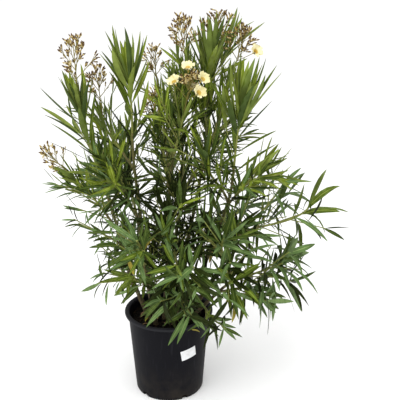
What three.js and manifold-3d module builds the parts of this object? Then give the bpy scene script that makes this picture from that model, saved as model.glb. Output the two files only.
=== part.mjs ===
// A potted oleander: canes that rise from one clump of roots in a round black pot, each cane forking into
// shoots that carry whorls of three long leaves, and on some of them a spray of buds or open flowers.
// Millimetres, +Z up. The origin is the middle of the pot's flat underside. Seen from the front of the
// plant, +X is to the right and +Y goes away. Headings go round from 0 at +X to 90 at +Y.

import * as THREE from "three";
import { mergeVertices } from "three/addons/utils/BufferGeometryUtils.js";
import Module from "manifold-3d";

const wasm = await Module();
wasm.setup();

// The pot
const POT_HEIGHT = 270;
const RIM_RADIUS = 138;
const LIP_HEIGHT = 10;
const LIP_EDGE = 2;
const NECK_RADIUS = 127;
const FOOT_RADIUS = 107;
const FOOT_ROUND = 5;
const WALL = 2.4;
const FLOOR = 3;
const POT_SIDES = 36;
const DRAIN_HEADINGS = [-134, -62, 10, 82, 154];
const DRAIN_SIZE = { wide: 16, deep: 20, high: 14 };
const GAP = 0.3;

// The soil in it
const SOIL_TOP = 240;
const SOIL_EDGE_DROP = 4;
const SOIL_EDGE_WIDTH = 14;

// The bare sticker on the pot's wall
const STICKER = { wide: 52, high: 35, thick: 0.6, off: 0.55, heading: -58, up: 167, tilt: 10 };

// Canes: the faces of each tube, its radius at the tip, and its flare at the soil
const CANE_TUBE = { sides: 7, steps: 6 };
const CANE_TIP = 4.2;
const FLARE = { share: 0.35, fall: 12 };

// Shoots and twigs
const TWIG_TUBE = { sides: 3, steps: 1 };
const SHOOT_TUBE = { sides: 3, steps: 4 };
const SHOOT_FOOT = 4.4;
const SHOOT_TIP = 3.2;
const TWIG_FOOT = 1.8;
const TWIG_TIP = 2.4;
const TWIG_LEAN = 36;
const TWIG_LENGTH = { least: 85, most: 135 };
const TWIG_ZONE = { low: 0.4, high: 0.84, sway: 0.7 };
const TWIG_TRIES = { shares: [1, 0.8, 0.6], turn: 60 };
const TWIG_OPENS = 12;
const TWIG_LEAF = 0.76;
const GOLDEN_TURN = 137.5;
const CANE_PULL = 0.35;
const STEEP = 0.05;

// Leaves: where each whorl sits below the tip, how far its leaves stand off the stem, and their length there
const WHORLS = [
  { below: 4, spread: 14, share: 0.92 },
  { below: 26, spread: 30, share: 1 },
  { below: 62, spread: 46, share: 1 },
  { below: 112, spread: 58, share: 0.95 },
  { below: 175, spread: 66, share: 0.9 },
];
const SHOOT_WHORLS = [0, 1, 2, 3, 4];
const TWIG_WHORLS = [0, 2];
const LEAVES_IN_WHORL = 3;
const SWING = 14;
const TURN_SWAY = 16;
const SPREAD_SWAY = 12;
const LOW_SPREAD = 36;
const LOW_CROWN = { from: 380, over: 400 };
const LEAF_SIZES = { least: 0.85, most: 1.08 };
const YOUNG_BELOW = 60;
const YOUNG_HANG = 0.4;
const OLD_LEAVES = { share: 0.74, below: 260 };
const DROOP = { least: 0.02, most: 0.12, low: 0.4 };
const LEAF_WIDTH = 0.165;
const LEAF_THICKNESS = 0.014;
const LEAF_SUNK = 1.2;
const LEAF_STAGGER = 4;
const LEAF_WIDEST = 0.45;
const CHECKED_AT = [0.12, 0.25, 0.4, 0.55, 0.7, 0.85, 1];
const FITTINGS = [
  { long: 1, open: 1 },
  { long: 1, open: 0.7 },
  { long: 0.85, open: 0.85 },
  { long: 0.75, open: 0.6 },
  { long: 0.62, open: 0.8 },
];

// Blossom
const STALK_RADIUS = 1.6;
const SPRAY = [
  { up: 0.55, lean: 50, long: 62 },
  { up: 0.96, lean: 20, long: 50 },
];
const SPRAY_STALK = 110;
const SPRAY_SIZES = { least: 0.8, most: 1.1, sway: 20, step: 0.05 };
const OPEN_FLOWERS = { flowers: ["0 0", "0 1", "0 2", "1 0"], flower: ["0 1"], buds: [] };
const BUD = { radius: 5, swell: 0.7 };
const FLOWER = { radius: 20, depth: 24, petals: 5, cleft: 0.72, seat: 0.85, own: 0.7, faces: [60, 275] };

// Room that each mass keeps to its neighbours and to the limbs and the pot
const MARGIN = 2.5;
const LIMB_ROOM = 1.5;
const POT_ROOM = 3;
const BEYOND_TIP = 90;
const LOWEST_LEAF = 60;

const TOUCH = 0.4;

const SEED = 41;
const DEGREE = Math.PI / 180;
const UP = new THREE.Vector3(0, 0, 1);

// Canes. foot: distance and heading from the pot's middle; fork: the far end; out: how soon it leans there.
const CANES = [
  { name: "tall_left", foot: [46, 165], fork: [-97, 0, 757], out: 0.62, thick: 8.5 },
  { name: "far_left", foot: [62, 190], fork: [-152, -20, 560], out: 0.7, thick: 8 },
  { name: "centre", foot: [14, 215], fork: [13, -20, 748], out: 0.5, thick: 9 },
  { name: "centre_back", foot: [40, 75], fork: [110, 80, 733], out: 0.55, thick: 8.5 },
  { name: "right", foot: [38, 2], fork: [188, -30, 660], out: 0.6, thick: 9 },
  { name: "far_right", foot: [66, 18], fork: [216, 0, 519], out: 0.6, thick: 8 },
  { name: "low_right", foot: [68, 330], fork: [191, -70, 397], out: 0.45, thick: 7 },
  { name: "front", foot: [50, 290], fork: [50, -110, 400], out: 0.4, thick: 7.5 },
  { name: "front_left", foot: [62, 232], fork: [-60, -120, 430], out: 0.5, thick: 7 },
  { name: "low_left", foot: [70, 155], fork: [-140, 30, 380], out: 0.45, thick: 7 },
  { name: "back", foot: [52, 108], fork: [40, 150, 600], out: 0.55, thick: 8.5 },
  { name: "back_left", foot: [62, 128], fork: [-110, 140, 560], out: 0.6, thick: 8 },
  { name: "back_right", foot: [68, 48], fork: [150, 150, 450], out: 0.55, thick: 7.5 },
];

// A mass of foliage's shoot. from: where it leaves its cane; head: where its top whorls stand; lean: degrees
// from upright and the heading; leaf: length of its leaves; twigs: side twigs.
function growing(name, cane, from, head, lean, leaf, twigs) {
  return { name, cane, from, head, lean, leaf, twigs };
}

// Masses of foliage, one shoot each.
const SHOOTS = [
  growing("tall_left", "tall_left", 1, [-103, -20, 996], [8, 180], 190, 0),
  growing("left_buds", "far_left", 1, [-240, -50, 930], [9, 180], 220, 1),
  growing("left_inner", "tall_left", 0.93, [-188, 40, 880], [5, 180], 125, 1),
  growing("left_low_buds", "far_left", 0.93, [-268, -20, 705], [44, 180], 112, 1),
  growing("left_mid", "tall_left", 0.8, [-150, -110, 730], [16, 215], 135, 2),
  growing("left_fill", "tall_left", 0.6, [-165, 60, 690], [24, 160], 125, 1),
  growing("left_low", "far_left", 0.78, [-190, -90, 562], [54, 200], 82, 1),
  growing("left_bottom", "low_left", 1, [-150, 20, 422], [72, 190], 70, 1),
  growing("left_back", "low_left", 0.85, [-125, 165, 485], [46, 130], 100, 1),
  growing("front_left", "front_left", 1, [-75, -225, 594], [42, 245], 130, 2),
  growing("front_left_low", "front_left", 0.85, [-100, -160, 450], [66, 235], 112, 2),
  growing("front", "front", 1, [81, -260, 531], [64, 275], 125, 1),
  growing("front_low", "front", 0.82, [30, -165, 385], [88, 235], 125, 1),
  growing("low_centre", "front", 0.88, [5, -150, 640], [18, 260], 145, 2),
  growing("front_right", "low_right", 1, [165, -200, 590], [36, 300], 145, 2),
  growing("front_right_low", "low_right", 0.86, [200, -185, 455], [66, 305], 125, 1),
  growing("pot_side", "low_right", 0.4, [141, -100, 274], [108, 322], 88, 0),
  growing("right_low", "low_right", 0.94, [347, -60, 453], [60, 350], 162, 2),
  growing("right_bottom", "low_right", 0.72, [255, -80, 385], [76, 345], 138, 1),
  growing("right_far", "far_right", 1, [424, 0, 606], [40, 0], 182, 1),
  growing("right_mid", "far_right", 0.93, [345, 80, 640], [34, 20], 135, 1),
  growing("right_upper", "right", 0.9, [260, -100, 748], [40, 350], 150, 2),
  growing("right_inner", "far_right", 0.86, [215, -100, 600], [30, 320], 130, 1),
  growing("tall_right", "right", 1, [212, -70, 905], [11, 350], 210, 0),
  growing("top_right", "centre_back", 0.9, [188, 50, 985], [16, 0], 125, 1),
  growing("top", "centre_back", 1, [129, 40, 1040], [5, 0], 190, 1),
  growing("top_left", "centre", 1, [62, 20, 1015], [8, 180], 125, 1),
  growing("centre_flowers", "centre", 0.95, [52, -75, 908], [12, 0], 140, 2),
  growing("mid_left", "centre", 0.9, [-25, 90, 945], [7, 175], 78, 1),
  growing("mid_left_low", "centre", 0.82, [-20, -30, 863], [12, 200], 120, 1),
  growing("centre", "right", 0.94, [114, -110, 802], [8, 280], 150, 2),
  growing("middle", "centre", 0.55, [40, -60, 700], [18, 290], 130, 1),
  growing("low_inner", "right", 0.45, [85, -60, 545], [14, 300], 120, 1),
  growing("low_inner_left", "front_left", 0.55, [-50, -60, 505], [12, 180], 115, 1),
  growing("back_left_tall", "back_left", 1, [-150, 200, 745], [14, 130], 135, 2),
  growing("back_left_low", "back_left", 0.9, [-220, 230, 640], [46, 140], 140, 1),
  growing("back_tall", "back", 1, [45, 210, 900], [8, 80], 155, 2),
  growing("back_low", "back", 0.88, [0, 290, 640], [50, 95], 145, 1),
  growing("back_right_tall", "back", 0.93, [160, 230, 830], [14, 70], 125, 2),
  growing("back_right", "back_right", 1, [262, 230, 555], [50, 35], 120, 1),
  growing("back_right_low", "back_right", 0.86, [180, 290, 450], [66, 65], 140, 1),
  growing("back_bottom", "back_right", 0.7, [-30, 250, 420], [78, 105], 130, 1),
];

// Where a shoot differs from the common rule: how far its leaves open, how far they may hang, which share of
// that the youngest do, how its whorls are turned, and the share of their length that the youngest have.
const HABITS = {
  tall_left: { fan: 0.78 },
  left_buds: { fan: 0.62, turn: 46, young: 0.45 },
  left_low_buds: { fan: 0.75 },
  left_bottom: { hang: 0.15 },
  front_right_low: { hang: 0.15 },
  front_left_low: { hang: 0.15 },
  left_inner: { fan: 0.62, young: 0.65 },
  front: { hang: 0.35 },
  right_low: { hang: 0.8 },
  right_far: { hang: 2, firm: 0.1 },
  right_mid: { hang: 0.5 },
  right_upper: { fan: 0.8, hang: 0.3 },
  tall_right: { fan: 0.8, turn: 112 },
  top_right: { fan: 0.7, young: 0.65 },
  top: { fan: 0.66, turn: 36 },
  top_left: { fan: 0.75, young: 0.8 },
  centre_flowers: { young: 0.8 },
  mid_left: { fan: 0.5 },
  mid_left_low: { fan: 0.8 },
};

// What a shoot carries at its tip, on a stalk of that length. Its nod is the stalk's own lean and heading.
const BLOOMS = {
  left_buds: { top: "buds", stalk: 148, nod: [3, 180] },
  left_inner: { top: "buds", stalk: 110 },
  left_low_buds: { top: "buds", stalk: 98 },
  top_right: { top: "flower", stalk: 120 },
  top: { top: "buds", stalk: 120, nod: [12, 0] },
  top_left: { top: "buds", stalk: 115 },
  centre_flowers: { top: "flowers", stalk: 98 },
  mid_left: { top: "buds", stalk: 95 },
  mid_left_low: { top: "buds", stalk: 82 },
};

const FINISH = {
  pot: { color: "#26282b", roughness: 0.72 },
  soil: { color: "#2a211b", roughness: 0.95 },
  sticker: { color: "#eceae6", roughness: 0.5 },
  cane: { color: "#7b7452", roughness: 0.8 },
  foliage: { color: "#5f7f36", roughness: 0.55 },
};

// A number from 0 to 1 that is always the same for one place in the plant.
function chance(...address) {
  let hash = SEED;
  for (const step of address) {
    hash = Math.imul(hash ^ (step + 1), 0x9e3779b1);
    hash ^= hash >>> 15;
    hash = Math.imul(hash, 0x85ebca6b);
    hash ^= hash >>> 13;
  }
  return (hash >>> 0) / 4294967296;
}

function between(low, high, share) {
  return low + (high - low) * share;
}

function vector(point) {
  return new THREE.Vector3(...point);
}

// The direction that leans so many degrees from upright towards a heading.
function leaning(degrees, heading) {
  const level = Math.sin(degrees * DEGREE);
  return new THREE.Vector3(
    level * Math.cos(heading * DEGREE),
    level * Math.sin(heading * DEGREE),
    Math.cos(degrees * DEGREE),
  );
}

// The directions at one place on a curve: along it, level across it, and square to both, turned round it.
function frameAt(curve, share, turn = 0) {
  const axis = curve.getTangent(share);
  const chord = curve.getPoint(1).sub(curve.getPoint(0));
  const level = new THREE.Vector3().crossVectors(UP, chord);
  if (level.length() < STEEP * chord.length()) level.set(1, 0, 0);
  const side = level.projectOnPlane(axis).normalize().applyAxisAngle(axis, turn * DEGREE);
  return { axis, side, rise: new THREE.Vector3().crossVectors(axis, side) };
}

// The direction off a frame's axis by a spread, at a turn round it.
function offAxis({ axis, side, rise }, spread, turn) {
  const across = side.clone().multiplyScalar(Math.cos(turn * DEGREE));
  const out = across.addScaledVector(rise, Math.sin(turn * DEGREE));
  const open = out.multiplyScalar(Math.sin(spread * DEGREE));
  return open.addScaledVector(axis, Math.cos(spread * DEGREE)).normalize();
}

// A closed three.js shape as a solid, once place has moved each of its vertices.
function solid(geometry, place) {
  geometry.deleteAttribute("normal");
  geometry.deleteAttribute("uv");
  const spots = geometry.attributes.position;
  for (let i = 0; i < spots.count; i++) {
    const moved = place(new THREE.Vector3().fromBufferAttribute(spots, i));
    spots.setXYZ(i, moved.x, moved.y, moved.z);
  }
  const merged = mergeVertices(geometry, 1e-4);
  const corners = merged.index.array;
  const triVerts = [];
  for (let i = 0; i < corners.length; i += 3) {
    const [a, b, c] = corners.subarray(i, i + 3);
    if (a !== b && b !== c && a !== c) triVerts.push(a, b, c);
  }
  const vertProperties = merged.attributes.position.array;
  const mesh = new wasm.Mesh({ numProp: 3, vertProperties, triVerts: new Uint32Array(triVerts) });
  return new wasm.Manifold(mesh);
}

// A tapering limb along a curve: radiusAt gives its thickness at each share of the way, turn rolls it about
// its own line, and beyond carries its end on past the curve's.
function limb(curve, radiusAt, { sides, steps, turn = 0, beyond = 0 }) {
  const tube = new THREE.CylinderGeometry(1, 1, 1, sides, steps);
  return solid(tube, (v) => {
    const share = Math.round((v.y + 0.5) * steps) / steps;
    const { axis, side, rise } = frameAt(curve, share, turn);
    const radius = radiusAt(share);
    return curve
      .getPoint(share)
      .addScaledVector(axis, share === 1 ? beyond : 0)
      .addScaledVector(side, v.x * radius)
      .addScaledVector(rise, -v.z * radius);
  });
}

// A place in the middle of such a limb, which runs straight from one step to the next.
function insideOf(curve, share, steps) {
  const step = Math.min(Math.floor(share * steps), steps - 1);
  return curve.getPoint(step / steps).lerp(curve.getPoint((step + 1) / steps), share * steps - step);
}

// The pot's wall, floor and rolled lip in section, from the middle of the underside round to the inside.
function potSection() {
  const section = new THREE.Path();
  section.moveTo(0, 0);
  section.lineTo(FOOT_RADIUS - FOOT_ROUND, 0);
  section.absarc(FOOT_RADIUS - FOOT_ROUND, FOOT_ROUND, FOOT_ROUND, -Math.PI / 2, 0, false);
  const lipFoot = POT_HEIGHT - LIP_HEIGHT;
  section.lineTo(NECK_RADIUS, lipFoot);
  section.absarc(RIM_RADIUS - LIP_EDGE, lipFoot + LIP_EDGE, LIP_EDGE, -Math.PI / 2, 0, false);
  section.absarc(RIM_RADIUS - LIP_EDGE, POT_HEIGHT - LIP_EDGE, LIP_EDGE, 0, Math.PI / 2, false);
  section.lineTo(NECK_RADIUS - WALL, POT_HEIGHT);
  section.lineTo(FOOT_RADIUS - WALL, FLOOR);
  section.lineTo(0, FLOOR);
  return section.getPoints(1);
}

// The pot's outer radius at a height on its sloping wall.
function wallRadius(z) {
  return between(FOOT_RADIUS, NECK_RADIUS, (z - FOOT_ROUND) / (POT_HEIGHT - LIP_HEIGHT - FOOT_ROUND));
}

// The wall's inner radius at a height.
function innerRadius(z) {
  return between(FOOT_RADIUS - WALL, NECK_RADIUS - WALL, (z - FLOOR) / (POT_HEIGHT - FLOOR));
}

// A turned shape: the lathe's own axis is laid along Z.
function turned(section) {
  return solid(new THREE.LatheGeometry(section, POT_SIDES), (v) => new THREE.Vector3(v.x, -v.z, v.y));
}

function makePot() {
  let pot = turned(potSection());
  for (const heading of DRAIN_HEADINGS) {
    const block = new THREE.BoxGeometry(DRAIN_SIZE.deep, DRAIN_SIZE.wide, 2 * DRAIN_SIZE.high);
    const drain = solid(block, (v) => {
      v.x += FOOT_RADIUS;
      return v.applyAxisAngle(UP, heading * DEGREE);
    });
    pot = pot.subtract(drain);
  }
  return pot;
}

function makeSoil() {
  const low = FLOOR + GAP;
  const edge = SOIL_TOP - SOIL_EDGE_DROP;
  return turned([
    new THREE.Vector2(0, low),
    new THREE.Vector2(innerRadius(low) - GAP, low),
    new THREE.Vector2(innerRadius(edge) - GAP, edge),
    new THREE.Vector2(innerRadius(edge) - SOIL_EDGE_WIDTH, SOIL_TOP),
    new THREE.Vector2(0, SOIL_TOP),
  ]);
}

// The sticker: a flat slip bent round the wall, a hair off it.
function makeSticker() {
  const slip = new THREE.BoxGeometry(STICKER.wide, STICKER.high, STICKER.thick, 4, 1, 1);
  const tilt = STICKER.tilt * DEGREE;
  return solid(slip, (v) => {
    const along = v.x * Math.cos(tilt) - v.y * Math.sin(tilt);
    const z = STICKER.up + v.x * Math.sin(tilt) + v.y * Math.cos(tilt);
    const out = wallRadius(z) + STICKER.off + STICKER.thick / 2 + v.z;
    const heading = STICKER.heading * DEGREE + along / wallRadius(z);
    return new THREE.Vector3(out * Math.cos(heading), out * Math.sin(heading), z);
  });
}

// The line that a cane follows from the soil to its fork.
function caneCurve(cane) {
  const [out, heading] = cane.foot;
  const foot = leaning(90, heading).multiplyScalar(out).setZ(SOIL_TOP + GAP);
  const fork = vector(cane.fork);
  const bend = foot.clone().lerp(fork, cane.out).setZ(between(foot.z, fork.z, 0.5));
  return new THREE.QuadraticBezierCurve3(foot, bend, fork);
}

// A cane's radius: an even taper, with a flare that dies out just above the soil.
function caneRadius(cane, extra = 0) {
  const length = cane.curve.getLength();
  return (share) => {
    const flare = cane.thick * FLARE.share * Math.exp((-share * length) / FLARE.fall);
    return between(cane.thick, CANE_TIP, share) + flare + extra;
  };
}

function makeCane(cane) {
  return limb(cane.curve, caneRadius(cane), CANE_TUBE).intersect(aboveSoil);
}

// The room that a cane takes up, with a gap all round it.
function roomFor(cane) {
  return limb(cane.curve, caneRadius(cane, GAP), { ...CANE_TUBE, beyond: GAP });
}

// The space over the soil, which cuts each cane's foot flat.
const aboveSoil = solid(new THREE.BoxGeometry(2000, 2000, 2000), (v) => v.setZ(v.z + 1000 + SOIL_TOP + GAP));

// The line that a shoot follows from its cane to its head, coming into line with its lean.
function shootCurve(shoot) {
  const cane = CANES.find((c) => c.name === shoot.cane);
  const start = cane.curve.getPoint(shoot.from);
  const head = vector(shoot.head);
  const reach = start.distanceTo(head);
  const aim = leaning(...shoot.lean);
  const pull = cane.curve.getTangent(shoot.from).multiplyScalar(CANE_PULL);
  const leave = head.clone().sub(start).normalize().add(pull).normalize();
  return new THREE.CubicBezierCurve3(
    start,
    start.clone().addScaledVector(leave, reach / 3),
    head.clone().addScaledVector(aim, -reach / 3),
    head,
  );
}

// A side twig leaves its shoot at a lean. Of the turns that it may take, the first one that fits is kept.
function twigCurve(shoot, index) {
  const { low, high, sway } = TWIG_ZONE;
  const along = between(low, high, (index + chance(shoot.id, index, 1) * sway) / shoot.twigs);
  const start = insideOf(shoot.curve, along, SHOOT_TUBE.steps);
  const first = GOLDEN_TURN * index + 360 * chance(shoot.id, index, 2);
  const length = between(TWIG_LENGTH.least, TWIG_LENGTH.most, chance(shoot.id, index, 3));
  for (const share of TWIG_TRIES.shares) {
    for (let turn = first; turn < first + 360; turn += TWIG_TRIES.turn) {
      const twig = straight(start, offAxis(frameAt(shoot.curve, along), TWIG_LEAN, turn), length * share);
      if (fits(twig, shoot, TWIG_TIP)) return twig;
    }
  }
  return null;
}

// The line from a leaf's root to its point: it leaves at its spread and bows over with its own weight.
function leafCurve(root, out, length, droop) {
  const middle = root.clone().addScaledVector(out, length * 0.5);
  const reach = root.clone().addScaledVector(out, length * (1 - 0.4 * droop));
  const tip = reach.addScaledVector(UP, -length * droop);
  return new THREE.QuadraticBezierCurve3(root, middle, tip);
}

// One leaf: a long blade with four faces, two above that meet across its widest part and two below that meet
// in a keel. Its root is sunk past its stem's middle.
function makeLeaf({ root, point, length, side }) {
  const axis = point.clone().sub(root).normalize();
  const flat = side.clone().projectOnPlane(axis).normalize();
  const face = new THREE.Vector3().crossVectors(flat, axis);
  const sunk = root.clone().addScaledVector(axis, -LEAF_SUNK);
  const middle = sunk.clone().lerp(point, LEAF_WIDEST).addScaledVector(face, length * LEAF_THICKNESS);
  const half = (length * LEAF_WIDTH) / 2;
  return solid(new THREE.TetrahedronGeometry(1), (v) => {
    if (v.x > 0) return v.y > 0 ? sunk.clone() : point.clone();
    return middle.clone().addScaledVector(flat, v.y > 0 ? half : -half);
  });
}

// How low in the crown a shoot stands: 0 from the middle up, and 1 at the pot's lip.
function lowness(shoot) {
  return 1 - THREE.MathUtils.clamp((shoot.head[2] - LOW_CROWN.from) / LOW_CROWN.over, 0, 1);
}

// Every leaf that a stem could carry, whorl by whorl from its tip, each out of one of the stem's three faces.
// The leaves of low shoots and of twigs stand further off their stems, and those of twigs are shorter.
function leavesOn(stem, { steps }, shoot, whorls, stemTurn, address, twig = { opens: 0, leaf: 1 }) {
  const leaves = [];
  const length = stem.getLength();
  const low = lowness(shoot);
  for (const index of whorls) {
    const whorl = WHORLS[index];
    const opens = whorl.spread * (shoot.fan ?? 1) + LOW_SPREAD * low + twig.opens;
    const aged = between(1, OLD_LEAVES.share, whorl.below / OLD_LEAVES.below);
    const age = Math.min(whorl.below / YOUNG_BELOW, 1);
    const young = between(shoot.young ?? 1, 1, age);
    const hang = (shoot.hang ?? DROOP.low * low) * between(shoot.firm ?? YOUNG_HANG, 1, age);
    const grown = shoot.leaf * whorl.share * aged * young * twig.leaf;
    for (let i = 0; i < LEAVES_IN_WHORL; i++) {
      const share = 1 - (whorl.below + LEAF_STAGGER * i) / length;
      if (share < 0.1) continue;
      const frame = frameAt(stem, share, stemTurn);
      const place = [...address, index, i];
      const swing = index % 2 === 0 ? SWING : -SWING;
      const turn = 90 + 120 * i + swing + TURN_SWAY * (chance(...place, 4) - 0.5);
      const spread = opens + SPREAD_SWAY * (chance(...place, 5) - 0.5);
      const size = grown * between(LEAF_SIZES.least, LEAF_SIZES.most, chance(...place, 6));
      const hung = Math.min(hang * chance(...place, 8) ** 2, 1);
      const droop = between(DROOP.least, DROOP.most, chance(...place, 7)) + hung;
      leaves.push({ root: insideOf(stem, share, steps), frame, turn, spread, size, droop });
    }
  }
  return leaves;
}

// Distance from a point to the stretch between two others.
function gapTo(point, start, end) {
  const line = end.clone().sub(start);
  const share = THREE.MathUtils.clamp(point.clone().sub(start).dot(line) / line.lengthSq(), 0, 1);
  return point.distanceTo(start.clone().addScaledVector(line, share));
}

// Distance from a point to a line of points.
function gapToLine(point, line) {
  let least = Infinity;
  for (let i = 1; i < line.length; i++) least = Math.min(least, gapTo(point, line[i - 1], line[i]));
  return least;
}

// Whether a point is in the pot's lip, wall or soil, or too near them.
function inPot(point) {
  const out = Math.hypot(point.x, point.y);
  if (point.z > POT_HEIGHT + POT_ROOM || out > RIM_RADIUS + POT_ROOM) return false;
  return point.z < SOIL_TOP + POT_ROOM || out > innerRadius(POT_HEIGHT) - POT_ROOM;
}

// Whether a point lies in a shoot's own space: nearer its line than any other, and clear of pot and canes.
function inOwnSpace(point, shoot, half) {
  if (point.z < LOWEST_LEAF || inPot(point)) return false;
  for (const cane of CANES) {
    if (gapToLine(point, cane.line) < cane.thick + half + LIMB_ROOM) return false;
  }
  const own = (gapToLine(point, shoot.line) + MARGIN + half) / shoot.leaf;
  return SHOOTS.every((other) => other === shoot || gapToLine(point, other.line) / other.leaf > own);
}

// Whether a blade or twig along a curve keeps to its shoot's space, from a little above its root.
function fits(curve, shoot, widest) {
  for (const share of CHECKED_AT) {
    const half = widest * Math.min(1, share / LEAF_WIDEST, (1 - share) / (1 - LEAF_WIDEST));
    if (!inOwnSpace(curve.getPoint(share), shoot, half)) return false;
  }
  return true;
}

// The leaf as it would grow, or shorter or closer to its stem where that leaves its space or cuts another
// leaf, or none.
function fittedLeaf(spec, shoot, placed) {
  for (const { long, open } of FITTINGS) {
    const length = spec.size * long;
    const out = offAxis(spec.frame, spec.spread * open, spec.turn);
    const curve = leafCurve(spec.root, out, length, spec.droop);
    if (!fits(curve, shoot, (length * LEAF_WIDTH) / 2)) continue;
    const side = new THREE.Vector3().crossVectors(spec.frame.axis, out).normalize();
    const leaf = makeLeaf({ root: spec.root, point: curve.getPoint(1), length, side });
    if (placed.every((other) => leaf.intersect(other).volume() < TOUCH)) return leaf;
  }
  return null;
}

// A bud on its own thin stalk: a spindle of six faces, swollen near the end.
function makeBud(base, axis, length) {
  const { side, rise } = frameAt(straight(base, axis, length), 0);
  const middle = base.clone().addScaledVector(axis, BUD.swell * length);
  const foot = base.clone().addScaledVector(axis, -LEAF_SUNK);
  const point = base.clone().addScaledVector(axis, length);
  return solid(new THREE.SphereGeometry(1, 3, 2), (v) => {
    if (v.y > 0.5) return point.clone();
    if (v.y < -0.5) return foot.clone();
    return middle.clone().addScaledVector(side, v.z * BUD.radius).addScaledVector(rise, v.x * BUD.radius);
  });
}

// An open flower: a shallow funnel with a notched edge.
function makeFlower(base, axis) {
  const { side, rise } = frameAt(straight(base, axis, FLOWER.depth), 0);
  const section = [new THREE.Vector2(0, 0), new THREE.Vector2(1, 1), new THREE.Vector2(0, 0.7)];
  return solid(new THREE.LatheGeometry(section, 2 * FLOWER.petals), (v) => {
    const turn = Math.round((Math.atan2(v.z, v.x) / Math.PI) * FLOWER.petals);
    const radius = FLOWER.radius * (turn % 2 === 0 ? 1 : FLOWER.cleft);
    return base
      .clone()
      .addScaledVector(axis, v.y * FLOWER.depth)
      .addScaledVector(side, v.x * radius)
      .addScaledVector(rise, -v.z * radius);
  });
}

function straight(start, axis, length) {
  return new THREE.LineCurve3(start, start.clone().addScaledVector(axis, length));
}

// The blossom at a shoot's tip: a stalk with tiers of three buds, and open flowers on the ones that it has.
function blossom(shoot) {
  if (!shoot.top) return [];
  const aim = leaning(...(shoot.nod ?? shoot.lean));
  const stalk = straight(shoot.curve.getPoint(1).addScaledVector(aim, -SHOOT_TIP * 2), aim, shoot.stalk);
  const pieces = [limb(stalk, () => STALK_RADIUS, TWIG_TUBE)];
  SPRAY.forEach((tier, row) => {
    for (let i = 0; i < 3; i++) {
      const sway = SPRAY_SIZES.sway * (chance(shoot.id, row, i, 9) - 0.5);
      const turn = 90 + 120 * i + (row === 0 ? SWING : -SWING) + sway;
      const out = offAxis(frameAt(stalk, 0), tier.lean, turn);
      const base = stalk.getPoint(tier.up - SPRAY_SIZES.step * i);
      const size = between(SPRAY_SIZES.least, SPRAY_SIZES.most, chance(shoot.id, row, i, 10));
      const long = ((tier.long * shoot.stalk) / SPRAY_STALK) * size;
      pieces.push(makeBud(base, out, long));
      if (!OPEN_FLOWERS[shoot.top].includes(`${row} ${i}`)) continue;
      const faces = leaning(...FLOWER.faces).lerp(out, FLOWER.own).normalize();
      pieces.push(makeFlower(base.clone().addScaledVector(out, long * FLOWER.seat), faces));
    }
  });
  return pieces;
}

// A mass of foliage: its shoot, twigs, leaves and blossom in one body, cut a hair clear of its cane.
function makeMass(shoot) {
  const shootRadius = (share) => between(SHOOT_FOOT, SHOOT_TIP, share);
  const twigRadius = (share) => between(TWIG_FOOT, TWIG_TIP, share);
  const turn = shoot.turn ?? 120 * chance(shoot.id, 20);
  const wood = [limb(shoot.curve, shootRadius, { ...SHOOT_TUBE, turn })];
  const specs = leavesOn(shoot.curve, SHOOT_TUBE, shoot, SHOOT_WHORLS, turn, [shoot.id, 50]);
  for (let i = 0; i < shoot.twigs; i++) {
    const twig = twigCurve(shoot, i);
    if (!twig) continue;
    wood.push(limb(twig, twigRadius, TWIG_TUBE));
    const twigLeaves = { opens: TWIG_OPENS, leaf: TWIG_LEAF };
    specs.push(...leavesOn(twig, TWIG_TUBE, shoot, TWIG_WHORLS, 0, [shoot.id, i], twigLeaves));
  }
  const leaves = [];
  for (const spec of specs) {
    const leaf = fittedLeaf(spec, shoot, leaves);
    if (leaf) leaves.push(leaf);
  }
  const cane = CANES.find((c) => c.name === shoot.cane);
  return largest(wasm.Manifold.union([...wood, ...leaves, ...blossom(shoot)]).subtract(roomFor(cane)));
}

// The biggest of a solid's separate bodies: loose scraps are dropped.
function largest(shape) {
  const bodies = shape.decompose();
  return bodies.reduce((best, body) => (body.volume() > best.volume() ? body : best));
}

// A solid as a named mesh in its finish.
function mesh(name, shape, finish) {
  const { numProp, vertProperties, triVerts } = shape.getMesh();
  const positions = new Float32Array((vertProperties.length / numProp) * 3);
  for (let i = 0; i < positions.length / 3; i++) {
    positions.set(vertProperties.subarray(i * numProp, i * numProp + 3), i * 3);
  }
  const geometry = new THREE.BufferGeometry();
  geometry.setAttribute("position", new THREE.BufferAttribute(positions, 3));
  geometry.setIndex(new THREE.BufferAttribute(new Uint32Array(triVerts), 1));
  geometry.computeVertexNormals();
  const made = new THREE.Mesh(geometry, new THREE.MeshStandardMaterial({ ...finish, flatShading: true }));
  made.name = name;
  return made;
}

// The lines that the canes and shoots follow, which the rule of own space measures from.
function setLines() {
  for (const cane of CANES) {
    cane.curve = caneCurve(cane);
    cane.line = cane.curve.getPoints(8);
  }
  SHOOTS.forEach((shoot, id) => {
    Object.assign(shoot, { id }, HABITS[shoot.name], BLOOMS[shoot.name]);
    shoot.curve = shootCurve(shoot);
    const beyond = vector(shoot.head).addScaledVector(leaning(...shoot.lean), BEYOND_TIP);
    shoot.line = [...shoot.curve.getPoints(7).slice(1), beyond];
  });
}

setLines();
const plant = new THREE.Group();
plant.name = "potted_oleander";
plant.add(mesh("pot", makePot(), FINISH.pot));
plant.add(mesh("soil", makeSoil(), FINISH.soil));
plant.add(mesh("sticker", makeSticker(), FINISH.sticker));
for (const cane of CANES) plant.add(mesh("cane_" + cane.name, makeCane(cane), FINISH.cane));
for (const shoot of SHOOTS) plant.add(mesh("foliage_" + shoot.name, makeMass(shoot), FINISH.foliage));

export default plant;
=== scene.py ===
# A potted oleander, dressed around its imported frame: black nursery pot, dark soil, barked canes, and shoots
# with whorls of long leaves, sprays of buds and a few open flowers. The tables and the rule of growth are in
# millimetres, as in the plant's solids, and become metres when a mesh is made.
import math

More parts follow.
